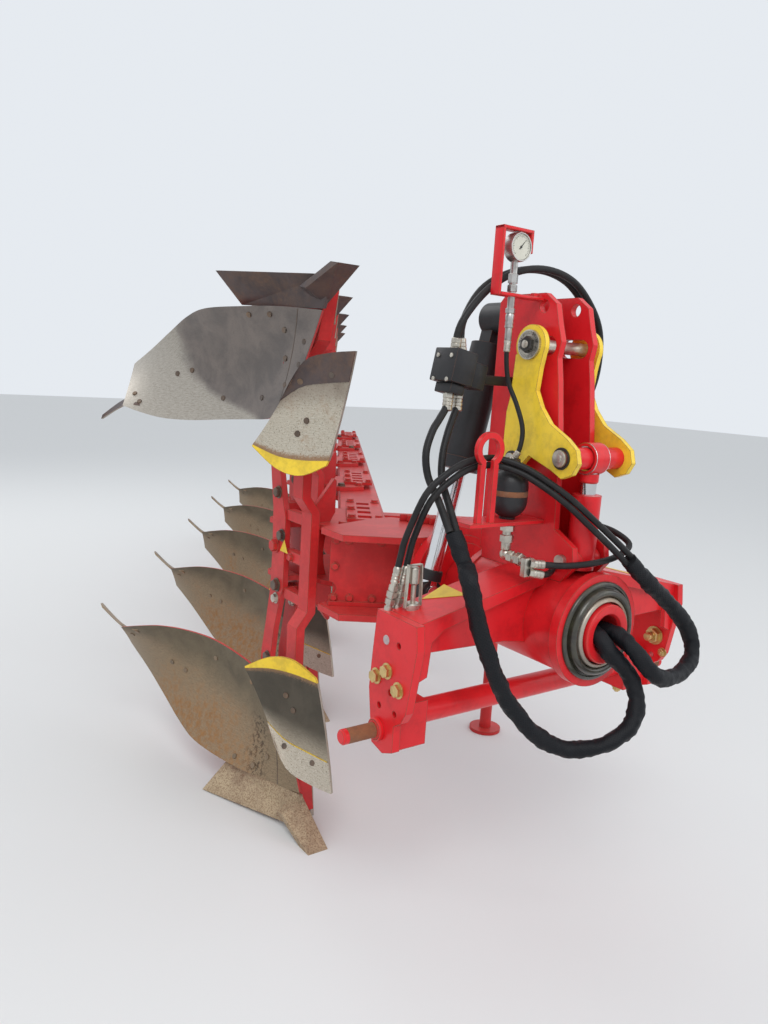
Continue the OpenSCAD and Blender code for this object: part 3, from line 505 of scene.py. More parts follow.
def makeHose(name, node, size, route):
    cloth = name.startswith("sleeve")
    line = smoothLine(route, 18 if cloth else 6)
    curve = bpy.data.curves.new(name, "CURVE")
    curve.dimensions = "3D"
    curve.bevel_depth = size / 2000
    curve.bevel_resolution = 5
    curve.use_fill_caps = True
    curve.twist_mode = "MINIMUM"
    spline = curve.splines.new("POLY")
    spline.points.add(len(line) - 1)
    for point, at in zip(spline.points, line):
        point.co = (*at, 1)
    temp = bpy.data.objects.new(name + " line", curve)
    scene.collection.objects.link(temp)
    mesh = bpy.data.meshes.new_from_object(temp.evaluated_get(bpy.context.evaluated_depsgraph_get()))
    bpy.data.objects.remove(temp)
    bpy.data.curves.remove(curve)
    runs = [0.0]
    for a, b in zip(line, line[1:]):
        runs.append(runs[-1] + (b - a).length)
    for loop in mesh.uv_layers[0].data:  # one unit of the pattern is a centimetre
        loop.uv = (loop.uv[0] * runs[-1] * 100, loop.uv[1] * math.pi * size / 10)
    for face in mesh.polygons:
        face.use_smooth = len(face.vertices) == 4
    if cloth:
        foldSleeve(mesh, line, runs)
    o = place(name, mesh, "headstock", sleeveCloth if cloth else hoseRubber, node)
    size / 1000


for name, hose in hoses.items():
    makeHose(name, *hose)
print("stage: hoses laid")

# finishes of the carried-over pieces
finishes = {
    redPaint: ["turnover_housing", "cross_arms", "side_plates", "cross_shaft", "shaft_clamps", "mast_plates",
               "mast_web", "shelf_and_hose_guide", "gauge_bracket", "rocker_tube", "lift_barrel", "turn_shaft",
               "turn_flange"],
    dirtyRed: ["frame_console", "front_box", "main_beam", "leg_brackets", "legs", "frogs", "skimmer_stalks",
               "stand_arm", "stand_leg"],
    yellowPaint: ["rocker_plates", "skimmer_plates"],
    blackPaint: ["accumulator", "valve_block", "turn_barrel", "seal_ring"],
    zinc: ["couplers", "elbow_fitting", "stored_pin", "top_link_pin", "lift_pin", "turn_pin"],
    chrome: ["turn_rod", "lift_rod"],
    brightSteel: ["pressure_gauge"],
    rustySteel: ["link_pins"],
    wornSteel: ["mouldboards_lower", "mouldboards_upper", "landsides", "skimmer_boards", "tail_strips"],
    shareSteel: ["shares", "points"],
}
for material, names in finishes.items():
    for n in names:
        mesh = nodes[n].data
        mesh.materials.clear()
        mesh.materials.append(material)


# a place whose own Z points along the axis
def along(at, axis):
    return Matrix.Translation(Vector(at)) @ Vector(axis).to_track_quat("Z", "Y").to_matrix().to_4x4()


def above(m, height):
    return m @ Matrix.Translation((0, 0, height))


def bevelEdges(bm, edges, offset, segments=2):
    bmesh.ops.bevel(bm, geom=list(edges), offset=offset, affect="EDGES", segments=segments, profile=0.5, material=-1)


# a closed drum from the place m upwards; top gives another radius at its far end
def addRound(bm, m, radius, height, segments=24, top=None, bevel=0.0):
    verts = bmesh.ops.create_cone(bm, cap_ends=True, segments=segments, radius1=radius, radius2=top or radius,
                                  depth=height, matrix=above(m, height / 2))["verts"]
    if bevel:
        bevelEdges(bm, {e for v in verts for e in v.link_edges if e.calc_face_angle(0) > 1.0}, bevel)
    return verts


# a nut or bolt head with its corners turned off; across is the width over two flats
def addHex(bm, m, across, height):
    verts = addRound(bm, m, across * 0.577, height, 6)
    ends = [f for f in {f for v in verts for f in v.link_faces} if len(f.verts) == 6]
    far = max(ends, key=lambda f: (m.inverted() @ f.calc_center_median()).z)
    bevelEdges(bm, far.edges, across * 0.06, 1)


# shares of the thread's diameter
boltShape = {"washer": 1.15, "washerHigh": 0.17, "across": 1.6, "head": 0.68, "stud": 0.6, "studEdge": 0.06}


# hexagon head on a washer, and a stud's end where one shows; size is the thread's diameter
def addBolt(bm, at, axis, size, stud=0.0):
    b = {key: share * size for key, share in boltShape.items()}
    m = along(at, axis)
    addRound(bm, m, b["washer"], b["washerHigh"])
    m = above(m, b["washerHigh"])
    addHex(bm, m, b["across"], b["head"])
    if stud:
        addRound(bm, above(m, b["stud"]), size / 2, stud, 16, None, b["studEdge"])


# a profile of (radius, height) spun about the place's own Z; one that doesn't start on the axis closes on itself
def addLathe(bm, m, profile, segments=40):
    verts = [bm.verts.new(m @ Vector((r, 0, h))) for r, h in profile]
    edges = [bm.edges.new(pair) for pair in zip(verts, verts[1:])]
    if profile[0][0]:
        edges.append(bm.edges.new((verts[-1], verts[0])))
    axis = (m.to_3x3() @ Vector((0, 0, 1))).normalized()
    bmesh.ops.spin(bm, geom=verts + edges, cent=m.translation, axis=axis, angle=math.tau, steps=segments,
                   use_merge=True)


def addBlock(bm, at, size, turn=None, bevel=3, segments=2):
    m = Matrix.Translation(at) @ (turn or Matrix.Identity(4)) @ Matrix.Diagonal((*size, 1))
    verts = bmesh.ops.create_cube(bm, size=1, matrix=m)["verts"]
    if bevel:
        bevelEdges(bm, {e for v in verts for e in v.link_edges}, bevel, segments)


def addBall(bm, at, radius):
    bmesh.ops.create_uvsphere(bm, u_segments=24, v_segments=16, radius=radius, matrix=Matrix.Translation(at))


# parts one above another along the place's own Z, each with its start
def addStack(bm, m, parts):
    for add, start, *values in parts:
        add(bm, above(m, start), *values)


# an object in metres with outward faces and sharp corners, from parts: each a function and what it takes
def makePiece(name, material, parts, body="headstock", sharp=32, node=None):
    bm = bmesh.new()
    for add, *values in parts:
        add(bm, *values)
    bmesh.ops.scale(bm, vec=(0.001, 0.001, 0.001), verts=bm.verts)
    bmesh.ops.remove_doubles(bm, verts=bm.verts, dist=0.00002)
    bmesh.ops.recalc_face_normals(bm, faces=bm.faces)
    mesh = bpy.data.meshes.new(name)
    bm.to_mesh(mesh)
    bm.free()
    for face in mesh.polygons:
        face.use_smooth = True
    mesh.set_sharp_from_angle(angle=math.radians(sharp))
    place(name, mesh, body, material, node)


# a place on the main beam, from its own measures
def alongBeam(across, ahead, height=0):
    s, c = math.sin(beamAngle), math.cos(beamAngle)
    return Vector((*beamStart, turnHeight + height)) + Vector((across * c + ahead * s, ahead * c - across * s, 0))


bodySteps = [Vector((math.sin(beamAngle), math.cos(beamAngle), 0)) * pitch * k for k in range(furrows)]


# a place on a lower body, measured from its share's tip, or its mirror on the upper one
def onBody(p, step, hand):
    at = Vector((*firstTip, ground)) + p + step
    return at if hand < 0 else Vector((at.x, at.y, 2 * turnHeight - at.z))


# the faces' sections from front to tail: the low edge's place, the high edge's, and the hollow between them
mouldboard = {"columns": 44, "rows": 20, "thickness": 9, "sections": [
    (0, 160, 115, -45, 285, 420, 8), (-55, 320, 104, -42, 400, 450, 25), (-109, 468, 104, -48, 530, 462, 40),
    (-150, 668, 108, -80, 690, 476, 44), (-158, 810, 132, -146, 800, 488, 38), (-166, 950, 182, -214, 885, 488, 28),
    (-181, 1100, 245, -270, 955, 474, 14), (-204, 1235, 305, -314, 1020, 456, 2)]}
tailStrip = {"columns": 12, "rows": 2, "thickness": 9, "sections": [
    (-208, 963, 418, -230, 937, 462, 0), (-281, 1059, 428, -299, 1026, 454, 0),
    (-348, 1154, 500, -352, 1158, 516, 0)]}
skimmer = {"columns": 16, "rows": 12, "thickness": 8, "sections": [
    (-24, -70, 232, -30, 30, 540, 6), (-60, 0, 240, -68, 110, 548, 14), (-96, 70, 262, -108, 190, 545, 16),
    (-118, 120, 330, -146, 285, 520, 8)]}
skimmerPlate = {"columns": 20, "rows": 4, "thickness": 6, "sections": [
    (-30, 30, 540, -34, 36, 556, 0), (-68, 110, 548, -74, 112, 594, 0), (-108, 190, 545, -113, 192, 582, 0),
    (-146, 285, 520, -147, 287, 526, 0)]}
turnedBack = Vector((1, 0.35, 0))  # the way from a face to its back


# a point of the face, s sections along and t of the way up
def boardPoint(sections, s, t):
    last = len(sections) - 1
    k = min(int(s), last - 1)
    near = [sections[min(max(k + d, 0), last)] for d in (-1, 0, 1, 2)]
    low = catmull(*[Vector(row[:3]) for row in near], s - k)
    high = catmull(*[Vector(row[3:6]) for row in near], s - k)
    return low * (1 - t) + high * t + 4 * t * (1 - t) * catmull(*[row[6] for row in near], s - k) * turnedBack


# a sheet over a span (s0, s1, t0, t1) of the face, with that span as its UV
def faceSheet(piece, step, hand, span, columns, rows, shift):
    sheet = bmesh.new()
    layer = sheet.loops.layers.uv.new("face")
    bmesh.ops.create_grid(sheet, x_segments=columns, y_segments=rows, size=0.5)
    where = {v: (span[0] + (v.co.x + 0.5) * (span[1] - span[0]), span[2] + (v.co.y + 0.5) * (span[3] - span[2]))
             for v in sheet.verts}
    for v, (s, t) in where.items():
        for loop in v.link_loops:
            loop[layer].uv = (s, t)
        v.co = onBody(boardPoint(piece["sections"], s, t) + shift, step, hand)
    return sheet


# thickens a sheet, its front faces in one slot and the rest in the first, and adds it to a piece
def addSheet(bm, sheet, thickness, slot):
    front = list(sheet.faces)
    made = bmesh.ops.extrude_face_region(sheet, geom=front)["geom"]
    bmesh.ops.translate(sheet, verts=[g for g in made if isinstance(g, bmesh.types.BMVert)], vec=thickness)
    for f in front:
        if f.is_valid:
            f.material_index = slot
    for g in made:
        if isinstance(g, bmesh.types.BMFace):
            g.material_index = 0
    mesh = bpy.data.meshes.new("part")
    sheet.to_mesh(mesh)
    sheet.free()
    bm.from_mesh(mesh)
    bpy.data.meshes.remove(mesh)


def makeBoards(name, piece, hands, node, faces, back):
    parts = []
    span = (0, len(piece["sections"]) - 1, 0, 1)
    for step, hand in [(step, hand) for step in bodySteps for hand in hands]:
        sheet = faceSheet(piece, step, hand, span, piece["columns"], piece["rows"], Vector())
        bmesh.ops.remove_doubles(sheet, verts=sheet.verts, dist=0.2)
        bmesh.ops.recalc_face_normals(sheet, faces=sheet.faces)
        if sum(f.normal.x * f.calc_area() for f in sheet.faces) > 0:
            bmesh.ops.reverse_faces(sheet, faces=sheet.faces)
        sheet.normal_update()
        parts.append((addSheet, sheet, piece["thickness"] * turnedBack, 1 + hands.index(hand)))
    makePiece(name, (back, *faces), parts, "plough_frame", 40, node)


makeBoards("lowerMouldboards", mouldboard, (-1,), "mouldboards_lower", (lowerSteel,), dirtyRed)
makeBoards("upperMouldboards", mouldboard, (1,), "mouldboards_upper", (upperSteel,), dirtyRed)
makeBoards("tailStrips", tailStrip, (-1, 1), "tail_strips", (shareSteel, shareSteel), wornSteel)
makeBoards("skimmerBoards", skimmer, (-1, 1), "skimmer_boards", (lowerSkimmerSteel, skimmerSteel), wornSteel)
makeBoards("skimmerPlates", skimmerPlate, (-1, 1), "skimmer_plates", (yellowPaint, yellowPaint), yellowPaint)
print("stage: mouldboards laid")

# a patch of a face, raised a little on the soil side
def makeFacePlates(name, piece, hand, span, lift, material):
    sheets = [faceSheet(piece, step, hand, span, 10, 10, -lift * turnedBack) for step in bodySteps]
    thick = lift * turnedBack + Vector((1, 0, 0))
    makePiece(name, material, [(addSheet, sheet, thick, 0) for sheet in sheets], "plough_frame", 40)


# spans of the shins, their seams, the skimmer shares and the paint line behind them, and how far each stands out
facePlates = {"shin": ((0.0, 0.62, 0.0, 1.0), 2.2), "seam": ((0.588, 0.606, 0.01, 0.97), 2.7),
              "share": ((0.0, 3.0, 0.0, 0.27), 2.2), "paint": ((0.1, 3.0, 0.268, 0.280), 1.8)}
# countersunk bolts, placed by their share of the way along and up each face
boardBolts = {"radius": 9.5, "top": 8.835, "depth": 3, "proud": 3.4, "main": [
    (1.9, 0.07), (1.3, 0.07), (0.9, 0.2), (0.8, 0.45), (0.6, 0.7), (1.6, 0.8), (4.8, 0.5), (4.2, 0.5), (3.0, 0.8),
    (0.3, 0.3), (0.3, 0.75), (0.25, 0.52), (6.5, 0.72), (6.2, 0.85)],
    "skimmer": [(0.8, 0.2), (2.1, 0.2), (1.4, 0.62), (1.6, 0.75)]}


def makeFaceBolts(name, piece, places, hand, material):
    parts = []
    b = boardBolts
    for s, t in places:
        p, ds, dt = (boardPoint(piece["sections"], *q) for q in ((s, t), (s + 0.02, t), (s, t + 0.02)))
        out = (ds - p).cross(dt - p).normalized()
        out = -out if out.x > 0 else out
        axis = Vector((out.x, out.y, out.z if hand < 0 else -out.z))
        for step in bodySteps:
            m = along(onBody(p, step, hand) + axis * (b["proud"] - b["depth"]), axis)
            parts.append((addRound, m, b["radius"], b["depth"], 16, b["top"]))
    makePiece(name, material, parts, "plough_frame", 40)


# each side's tones: the upper skimmer shares take the dark share steel, partly painted shade, and the lower ones take
# the pale speckled steel, partly painted light
sides = ((-1, "lower", lowerSteel, boardBoltSteel, lightShareSteel), (1, "upper", upperSteel, boltSteel, shareSteel))
for hand, word, steel, boltTone, shareTone in sides:
    makeFacePlates(word + "Shins", mouldboard, hand, *facePlates["shin"], steel)
    makeFacePlates(word + "ShinSeams", mouldboard, hand, *facePlates["seam"], boltSteel)
    if hand < 0:
        makeFacePlates("skimmerPaintLines", skimmer, hand, *facePlates["paint"], yellowPaint)
    makeFacePlates(word + "SkimmerShares", skimmer, hand, *facePlates["share"], shareTone)
for hand, word, steel, boltTone, shareTone in sides:
    makeFaceBolts(word + "BoardBolts", mouldboard, boardBolts["main"], hand, boltTone)
    makeFaceBolts(word + "SkimmerBolts", skimmer, boardBolts["skimmer"], hand, boltSteel)
print("stage: shins and board bolts fitted")

# link pins with painted collars and tips, from the side plates outwards
linkPin = {"face": 482.5, "pin": [(0, -22), (18.3, -22), (18.3, 88), (0, 88)],
           "tip": [(0, 88), (18.3, 88), (18.3, 100), (14.3, 104), (0, 104)],
           "collar": [(18.3, 0), (28, 0), (28, 9), (25, 12), (23, 11), (22.3, 14), (18.3, 14)]}
pinEnds = [along((side * linkPin["face"], 0, 0), (side, 0, 0)) for side in (-1, 1)]
makePiece("linkPins", rustySteel, [(addLathe, m, linkPin["pin"]) for m in pinEnds], node="link_pins")
makePiece("linkPinPaint", redPaint, [(addLathe, m, linkPin[k]) for m in pinEnds for k in ("tip", "collar")])

# side plates: bolts outside, nuts inside with their studs, bolts below, and a grey plug
sideBolts = {"face": 482.5, "inner": 460.5, "size": 17, "places": [(17, 127), (-25, 153), (-72, 122.5)], "stud": 12,
             "under": [(423, -7), (384, -12)], "bottom": -44, "underSize": (14, 6),
             "nuts": [(-67, 121, 24, 20), (-99, 78, 12, 6)], "plugAt": (-13, 225), "plug": (11.5, 2, 24, 10.5)}
b = sideBolts
parts = [(addBolt, (-b["inner"], y, z), (1, 0, 0), b["size"], b["stud"]) for y, z in b["places"]]
parts += [(addBolt, (b["inner"], y, z), (-1, 0, 0), *sizes) for y, z, *sizes in b["nuts"]]
for side in (-1, 1):
    parts += [(addBolt, (side * b["face"], y, z), (side, 0, 0), b["size"]) for y, z in b["places"]]
    parts += [(addBolt, (side * x, y, b["bottom"]), (0, 0, -1), *b["underSize"]) for x, y in b["under"]]
makePiece("sidePlateBolts", brass, parts)
plugs = [along((side * b["face"], *b["plugAt"]), (side, 0, 0)) for side in (-1, 1)]
makePiece("sidePlatePlugs", palePlug, [(addRound, m, *b["plug"]) for m in plugs])

# turning head: greasy seal with a rounded lip, steel ring and the red face of the shaft
seal = {"back": -222, "outside": [(78, 0), (124, 0), (124, 5), (121, 8), (115, 8), (113, 4), (110, 4), (108, 10)],
        "lip": {"at": (99, 11), "wide": 10, "high": 12, "steps": 8}, "inside": [(88, 10), (78, 10)],
        "edge": [(78.5, 9), (88, 9), (88, 19), (85, 23), (80, 25), (78.5, 24)]}
shaftFace = {"back": -238, "face": [(46, -1), (74, -1), (74, 15), (71, 18), (56, 18), (51, 16), (46, 9)]}
lip = seal["lip"]
turns = [math.pi * (0.05 + 0.9 * k / lip["steps"]) for k in range(lip["steps"] + 1)]
lips = [(lip["at"][0] + lip["wide"] * math.cos(a), lip["at"][1] + lip["high"] * math.sin(a)) for a in turns]
m = along((0, seal["back"], turnHeight), (0, -1, 0))
makePiece("turningSeal", greasySeal, [(addLathe, m, seal["outside"] + lips + seal["inside"], 72)], sharp=50,
          node="seal_ring")
makePiece("sealEdge", wornSteel, [(addLathe, m, seal["edge"], 72)], sharp=50)
m = along((0, shaftFace["back"], turnHeight), (0, -1, 0))
makePiece("shaftFace", redPaint, [(addLathe, m, shaftFace["face"], 72)], "plough_frame")

# top pin with its washer, nut and end, and the rocker's pins as (y, z, radius) with theirs; the top washer's face
# lies a hair behind the disc of the frame's own pin, so both show
rockerPins = {"side": 105, "top": (-12, 924), "pins": [(-148, 660, 20.5), (17, 637, 18.5)],
              "topEnd": (12, 10, 10, 20, None, 2),
              "topDark": [(addLathe, 0, [(16, 0), (36, 0), (36, 6), (33, 7.99999), (24, 7.99999), (22, 5),
                                       (16, 5)]),
                          (addHex, 7, 36, 12)]}
dark, bright = [], []
for side in (-1, 1):
    m = along((side * rockerPins["side"], *rockerPins["top"]), (side, 0, 0))
    dark.append((addStack, m, rockerPins["topDark"]))
    bright.append((addStack, m, [(addRound, *rockerPins["topEnd"])]))
    for y, z, radius in rockerPins["pins"]:
        m = along((side * rockerPins["side"], y, z), (side, 0, 0))
        dark.append((addLathe, m, [(10, 0), (radius + 6, 0), (radius + 6, 3), (10, 3)]))
        bright.append((addStack, m, [(addRound, 3, radius, 8, 32, None, 1.8),
                                     (addRound, 10, radius / 2, 4, 24, None, 1)]))
makePiece("rockerWashers", greasyBlack, dark, "rocker")
makePiece("rockerPinHeads", zinc, bright, "rocker")

# hose couplers: drums and hexagons, and the ribbed crimp above them
couplerParts = [(addRound, 1, 10, 12, 20), (addRound, 13, 7.5, 6, 20), (addHex, 18, 21.5, 13),
                (addRound, 31, 8, 5, 20), (addHex, 35, 23.5, 13), (addRound, 48, 7.5, 4, 20),
                (addHex, 51, 20.5, 13), (addRound, 64, 7.5, 6, 20),
                (addLathe, 69, [(0, 0), (9.5, 0), (10, 4), (8.8, 7), (10, 11), (8.8, 15), (10, 19), (8.8, 23),
                                (10, 28), (10, 34), (8, 38.8), (0, 38.8)], 24)]
lean = (math.sin(couplers["lean"]), 0, math.cos(couplers["lean"]))
feet = [along((x, couplers["y"], couplers["base"]), lean) for x in couplers["x"]]
makePiece("hoseCouplers", zinc, [(addStack, m, couplerParts) for m in feet], node="couplers")

# stored pin with its strap of two leaning uprights and two flats
storedPin = {"x": -420.5, "y": -22, "base": 287, "profile": [
    (0, 0), (18, 0), (18, 20), (15, 23), (6, 23), (6, 66), (12, 70), (12, 105), (9, 108), (0, 108)],
    "apart": 20.5, "middle": 350, "upright": (3, 12, 104), "lean": 0.04, "levels": (302, 400), "flat": (41, 12, 3)}
p = storedPin
parts = [(addBlock, (p["x"] + side * p["apart"], p["y"], p["middle"]), p["upright"],
          Matrix.Rotation(-side * p["lean"], 4, "Y"), 1, 1) for side in (-1, 1)]
parts += [(addBlock, (p["x"], p["y"], z), p["flat"], None, 1, 1) for z in p["levels"]]
m = along((p["x"], p["y"], p["base"]), (0, 0, 1))
makePiece("storedPin", zinc, [(addLathe, m, p["profile"], 32)], node="stored_pin")
makePiece("storedPinStrap", zinc, parts)

# pressure gauge: bezel, cream dial, ticks and needle, on a stem with its nuts
gauge = {"at": (-162, 18, 1146), "stemAt": (-162, 9, 0),
         "bezel": [(0, 0), (30, 0), (34, 3), (34, 24), (32.5, 30), (30, 30), (29.5, 26.5), (0, 26.5)],
         "dial": (29.2, 1, 48), "dialAt": 26.2, "marksAt": 27.1, "ticks": 31, "step": 9, "first": -135,
         "rim": 26.2, "long": 5, "short": 2.8, "needle": -40, "hub": (2.8, 1.6, 16)}
stem = [(addRound, 930.5, 8.5, 30, 24, None, 1),
        (addLathe, 960, [(0, 0), (10.5, 0), (10.5, 4), (9.5, 8), (10.5, 12), (9.5, 16), (10.5, 20), (10.5, 30),
                         (8.5, 34), (0, 34)], 24),
        (addHex, 994, 21, 12), (addHex, 1044, 21, 16), (addHex, 1064, 21, 22), (addRound, 1005, 8.8, 108, 20)]
m = along(gauge["at"], (0, -1, 0))
top = above(m, gauge["marksAt"])
needle = top @ Matrix.Rotation(math.radians(gauge["needle"]), 4, "Z") @ Matrix.Translation((0, -7, 0.8))
marks = [(addRound, top, *gauge["hub"]), (addRound, needle @ Matrix.Rotation(-math.pi / 2, 4, "X"), 1.6, 30, 4, 0.3)]
for k in range(gauge["ticks"]):
    long = gauge["short"] if k % 5 else gauge["long"]
    turn = Matrix.Rotation(math.radians(gauge["first"] + gauge["step"] * k), 4, "Z")
    tick = top @ turn @ Matrix.Translation((0, gauge["rim"] - long / 2, 0.2))
    marks.append((addBlock, (0, 0, 0), (0.7, long, 0.4), tick, 0))
makePiece("gaugeBody", brightSteel, [
    (addLathe, m, gauge["bezel"], 56), (addStack, along(gauge["stemAt"], (0, 0, 1)), stem)], node="pressure_gauge")
makePiece("gaugeDial", dialCream, [(addRound, above(m, gauge["dialAt"]), *gauge["dial"])])
makePiece("gaugeMarks", inkBlack, marks)

# crimps and nuts where hoses meet their fittings, at the start (1) or end (-1); sizes are shares of the radius
crimps = {"valveHoseA": (1,), "valveHoseB": (1,), "gaugeHose": (1, -1), "lowHoseA": (1,), "lowHoseB": (1,),
          "mastHoseA": (1, -1), "mastHoseB": (1, -1)}
crimpShape = {"nut": (2.6, 1.3), "start": 1.2, "profile": [
    (0, 0), (1.15, 0), (1.35, 0.3), (1.35, 1), (1.22, 1.1), (1.35, 1.25), (1.35, 2), (1.22, 2.1), (1.35, 2.25),
    (1.35, 3.2), (1.05, 3.45), (0, 3.45)]}
parts = []
for name, ends in crimps.items():
    node, size, route = hoses[name]
    r = size / 2
    for end in ends:
        way = smoothLine(route, 6)[::end]
        m = along(way[0] * 1000, (way[4] - way[0]).normalized())
        profile = [(a * r, h * r) for a, h in crimpShape["profile"]]
        parts.append((addStack, m, [(addHex, 0.5, *(share * r for share in crimpShape["nut"])),
                                    (addLathe, crimpShape["start"] * r, profile, 24)]))
makePiece("hoseCrimps", zinc, parts)

# valve block of boxes (place, size), leaning as it is bolted on, with its plugs, ports (place, height) and screws
valve = {"lean": 0.19, "boxes": [((-284, 58, 858), (66, 85, 80)), ((-226, 60, 840), (52, 55, 62)),
                                 ((-294, 56, 806), (44, 60, 24))],
         "arm": ((-134, 78, 832), (134, 30, 24)), "plugs": [(-262, 60, 868), (-262, 60, 842)],
         "ports": [(-296, 45, 872, 12), (-272, 45, 876, 9), (-300, 50, 795.5, 10.5), (-262, 60, 795.5, 26.5)],
         "screws": [(33, 888), (83, 888), (33, 832), (83, 832)]}
lean = valve["lean"]
parts = [(addBlock, at, size, Matrix.Rotation(lean, 4, "Y")) for at, size in valve["boxes"]]
parts += [(addRound, along(at, (1, 0, -lean)), 12, 22, 20, None, 2) for at in valve["plugs"]]
makePiece("valveBlock", blackPaint, parts + [(addBlock, *valve["arm"])], node="valve_block")
parts = [(addRound, along(at, (0, 0, 1)), 9.5, high, 20) for *at, high in valve["ports"]]
for y, z in valve["screws"]:
    parts.append((addRound, along((-316.5 + lean * (z - 858), y, z - 4), (-1, 0, lean)), 5.5, 5, 12, None, 1))
makePiece("valveFittings", zinc, parts)

# elbow with its nuts, down the pipe and towards the front
elbow = {"down": (-164, -50, 0), "downParts": [(addHex, 472, 32, 15), (addRound, 462, 11.5, 10), (addHex, 444, 30, 18),
                                               (addRound, 424, 12.5, 20, 24, None, 1)],
         "ahead": (-164, 0, 410), "aheadParts": [(addRound, 56, 10.5, 66), (addHex, 66, 27, 14), (addHex, 92, 29, 16)],
         "ball": ((-164, -50, 412), 14.5), "tee": ((-170, -132, 399), (28, 16, 46))}
makePiece("elbowFitting", zinc, [
    (addStack, along(elbow["down"], (0, 0, 1)), elbow["downParts"]), (addBall, *elbow["ball"]),
    (addStack, along(elbow["ahead"], (0, -1, 0)), elbow["aheadParts"]), (addBlock, *elbow["tee"], None, 2)],
    node="elbow_fitting")

# cylinders: places on their axes at rest, and rings for the gland, the rod's end, the eyes and the lift rod's collar
cylinder = {"top": (0, 235, 1000), "along": (-174, 0, -755), "gland": 404, "end": 62, "eyeAt": (-174, 212.5, 245),
            "glandRing": [(26.2, 6), (44, 6), (44, 0), (48.5, 0), (48.5, -20), (44, -22), (44, -30), (26.2, -30)],
            "endRing": [(25.1, 0), (30, 0), (32, 4), (32, 30), (25.1, 30)],
            "eye": [(20.5, 0), (34.5, 0), (34.5, 45), (20.5, 45)]}
liftEye = {"at": (-24.5, -148, 660), "front": (0, -148, 660), "foot": (0, -146, 409), "collarAt": 36,
           "ring": [(30.5, 0), (37, 0), (39.5, 2.5), (39.5, 46.5), (37, 49), (30.5, 49)],
           "collar": [(20.1, 0), (23.5, 0), (23.5, 20), (20.5, 24), (20.1, 24)]}
c = cylinder
down = Vector(c["along"]).normalized()
top = along(c["top"], down)
makePiece("turnGland", blackPaint, [(addLathe, above(top, c["gland"]), c["glandRing"])], "turn_cylinder")
makePiece("turnRodEye", blackPaint, [
    (addLathe, above(top, Vector(c["along"]).length - c["end"]), c["endRing"], 32),
    (addLathe, along(c["eyeAt"], (0, 1, 0)), c["eye"])], "turn_piston")
rod = along(liftEye["front"], Vector(liftEye["foot"]) - Vector(liftEye["front"]))
makePiece("liftEye", redPaint, [(addLathe, along(liftEye["at"], (1, 0, 0)), liftEye["ring"]),
                                (addLathe, above(rod, liftEye["collarAt"]), liftEye["collar"], 32)], "lift_piston")

# accumulator: rusty band, and a cap with ribs round it
accumulator = {"at": (-150, -30, 0), "band": [(46.1, 556), (46.4, 557), (46.4, 569), (46.1, 570)], "ribs": 18,
               "cap": [(15.5, 624), (19.5, 624), (19.5, 646), (17, 648), (15.5, 648)],
               "rib": ((19.5, 0, 636), (3, 3.5, 20))}
m = along(accumulator["at"], (0, 0, 1))
at, size = accumulator["rib"]
makePiece("accumulatorBand", rustySteel, [(addLathe, m, accumulator["band"], 48)])
parts = [(addLathe, m, accumulator["cap"], 36)]
for k in range(accumulator["ribs"]):
    turn = Matrix.Rotation(math.tau * k / accumulator["ribs"], 4, "Z") @ Matrix.Translation(at)
    parts.append((addBlock, accumulator["at"], size, turn, 0))
makePiece("accumulatorCap", blackPaint, parts)
print("stage: headstock fittings made")

# bolts on the legs (y, z, size on three faces), the beam's slotted plates, the brackets and the box's front plate
frameBolts = {
    "legs": [(-334, "dark", [(831, 437, 18), (797, 301, 18), (820, 130, 20), (866, -130, 16)]),
             (-334, "zinc", [(824, 84, 16)]), (-334, "red", [(837, 260, 22)]), (-328, "red", [(742, 238, 12)]),
             (-268, "dark", [(803, 352, 16), (838, 476, 16)]), (-268, "zinc", [(828, 64, 14)])],
    "slotPlate": [(-46, 270), (46, 270), (-46, 602), (46, 602), (-46, 436)], "slotLevel": 110, "slotSize": 14,
    "bracket": [(158, 232), (246, 226), (262, 500), (150, 480), (58, 420)], "bracketLevel": 98, "bracketSize": 16,
    "endPlate": [(-96, 92), (-58, 92), (-96, 12), (-96, -84), (-48, -84), (20, -84), (92, -84), (134, 92), (40, 92),
                 (134, -10)], "endFace": -22, "endSize": 12}
b = frameBolts
tones = {"dark": [], "zinc": [], "red": []}
for x, tone, places in b["legs"]:
    for y, z, size in places:
        for height in (z,) if z > 0 else (z, 2 * turnHeight - z):
            tones[tone] += [(addBolt, Vector((x, y, height)) + step, (-1, 0, 0), size) for step in bodySteps]
for k, step in enumerate(bodySteps):
    for hand in (1, -1):
        up = (0, 0, hand)
        for x, y in b["slotPlate"]:
            tones["red"].append((addBolt, alongBeam(x, y + k * pitch, hand * b["slotLevel"]), up, b["slotSize"]))
        for x, y in b["bracket"]:
            at = Vector((firstTip[0] + x, firstTip[1] + y, turnHeight + hand * b["bracketLevel"])) + step
            tones["red" if (x + k) % 3 else "dark"].append((addBolt, at, up, b["bracketSize"]))
ahead = alongBeam(0, -1) - alongBeam(0, 0)
tones["red"] += [(addBolt, alongBeam(x, b["endFace"], z), ahead, b["endSize"]) for x, z in b["endPlate"]]
for tone, material in (("dark", boltSteel), ("zinc", zinc), ("red", dirtyRed)):
    makePiece(tone + "FrameBolts", material, tones[tone], "plough_frame")

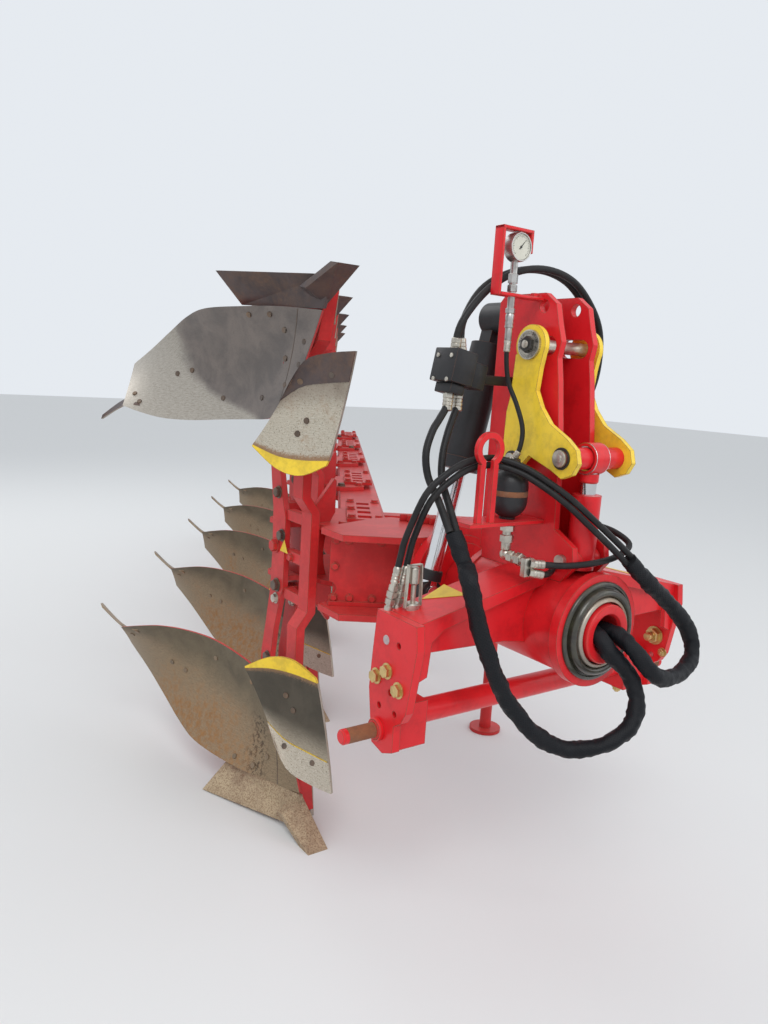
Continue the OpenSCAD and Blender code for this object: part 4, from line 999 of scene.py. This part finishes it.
# gauge bracket of bent strap (place, size) with its nut, and the block between the mast plates; the strap's top is
# a hair smaller than its ends, so that their faces don't share a plane
strap = [((-138, 9, 1036), (144, 30, 8)), ((-214, 9, 1111), (8, 30, 158)),
         ((-168.5, 9, 1186), (98.998, 29.998, 7.998)), ((-123, 9, 1163), (8, 30, 54))]
strapNut = (addHex, along((-85, 9, 1040), (0, 0, 1)), 18, 9)
makePiece("gaugeStrap", redPaint, [(addBlock, *part, None, 1.5) for part in strap] + [strapNut], node="gauge_bracket")
makePiece("mastBlock", blackPaint, [(addBlock, (0, 104, 893), (94.5, 13, 250), None, 2)])

# fluted plates on the console, each turned a little more than the last
flutes = {"count": 6, "start": (16, 560, 384), "step": (14, -20, 0), "size": (100, 8, 22), "turn": -0.32, "more": 0.03}
f = flutes
makePiece("consoleFlutes", dirtyRed, [
    (addBlock, Vector(f["start"]) + k * Vector(f["step"]), f["size"],
     Matrix.Rotation(f["turn"] + f["more"] * k, 4, "Z"), 2) for k in range(f["count"])], "plough_frame")

# blank labels: body, place, axis, turn, size and corners
labels = {"ArmRight": ("headstock", (-318.2, -12, 320), (-0.21, 0, 0.98), 0.9, (105, 90), 3),
          "ArmLeft": ("headstock", (318.2, -12, 320), (0.21, 0, 0.98), 0.4, (100, 55), 4),
          "Leg": ("plough_frame", (-334.5, 781, 262), (-1, 0, 0), 0.0, (50, 46), 3)}
for name, (body, at, axis, turn, size, corners) in labels.items():
    m = along(at, axis) @ Matrix.Rotation(turn, 4, "Z") @ Matrix.Diagonal((*size, 1, 1))
    square = Matrix.Rotation(math.pi / 4 if corners == 4 else 0, 4, "Z")
    makePiece("blankLabel" + name, labelYellow, [(addRound, above(m @ square, -0.3), 0.6, 0.6, corners)], body)
print("stage: frame fittings made")

# floor, room light and lamps: each lamp's place, size and power
room = {"floor": (0.75, 0.75, 0.74, 1), "light": (0.86, 0.90, 0.95, 1), "strength": 0.86, "seen": 0.06,
        "look": (0.2, 1.0, 0.2)}
lamps = {"key": ((-2.6, -3.6, 5.2), 3.4, 160), "fill": ((4.5, -3.5, 3.0), 4.0, 40),
         "rim": ((-1.0, 6.5, 5.0), 4.0, 100)}


def makeStage():
    bm = bmesh.new()
    bmesh.ops.create_grid(bm, x_segments=1, y_segments=1, size=30)
    bmesh.ops.translate(bm, verts=bm.verts, vec=(0, 0, ground / 1000))
    mesh = bpy.data.meshes.new("floor")
    bm.to_mesh(mesh)
    bm.free()
    floor = bpy.data.objects.new("floor", mesh)
    scene.collection.objects.link(floor)
    m, n = newMaterial("pale floor", 0.9)
    n.body.inputs["Base Color"].default_value = room["floor"]
    mesh.materials.append(m)
    world = bpy.data.worlds.new("pale room")
    scene.world = world
    world.use_nodes = True
    back = world.node_tree.nodes["Background"].inputs
    rays = world.node_tree.nodes.new("ShaderNodeLightPath").outputs
    camera, glossy, clear = (Signal(rays["Is %s Ray" % kind]) for kind in ("Camera", "Glossy", "Transmission"))
    put(back["Color"], room["light"])
    put(back["Strength"], camera.most(glossy.most(clear)) * room["seen"] + room["strength"])
    for name, (at, size, power) in lamps.items():
        data = bpy.data.lights.new(name, "AREA")
        data.size = size
        data.energy = power
        lamp = bpy.data.objects.new(name, data)
        lamp.location = at
        lamp.rotation_euler = (Vector(room["look"]) - Vector(at)).to_track_quat("-Z", "Y").to_euler()
        scene.collection.objects.link(lamp)


makeStage()
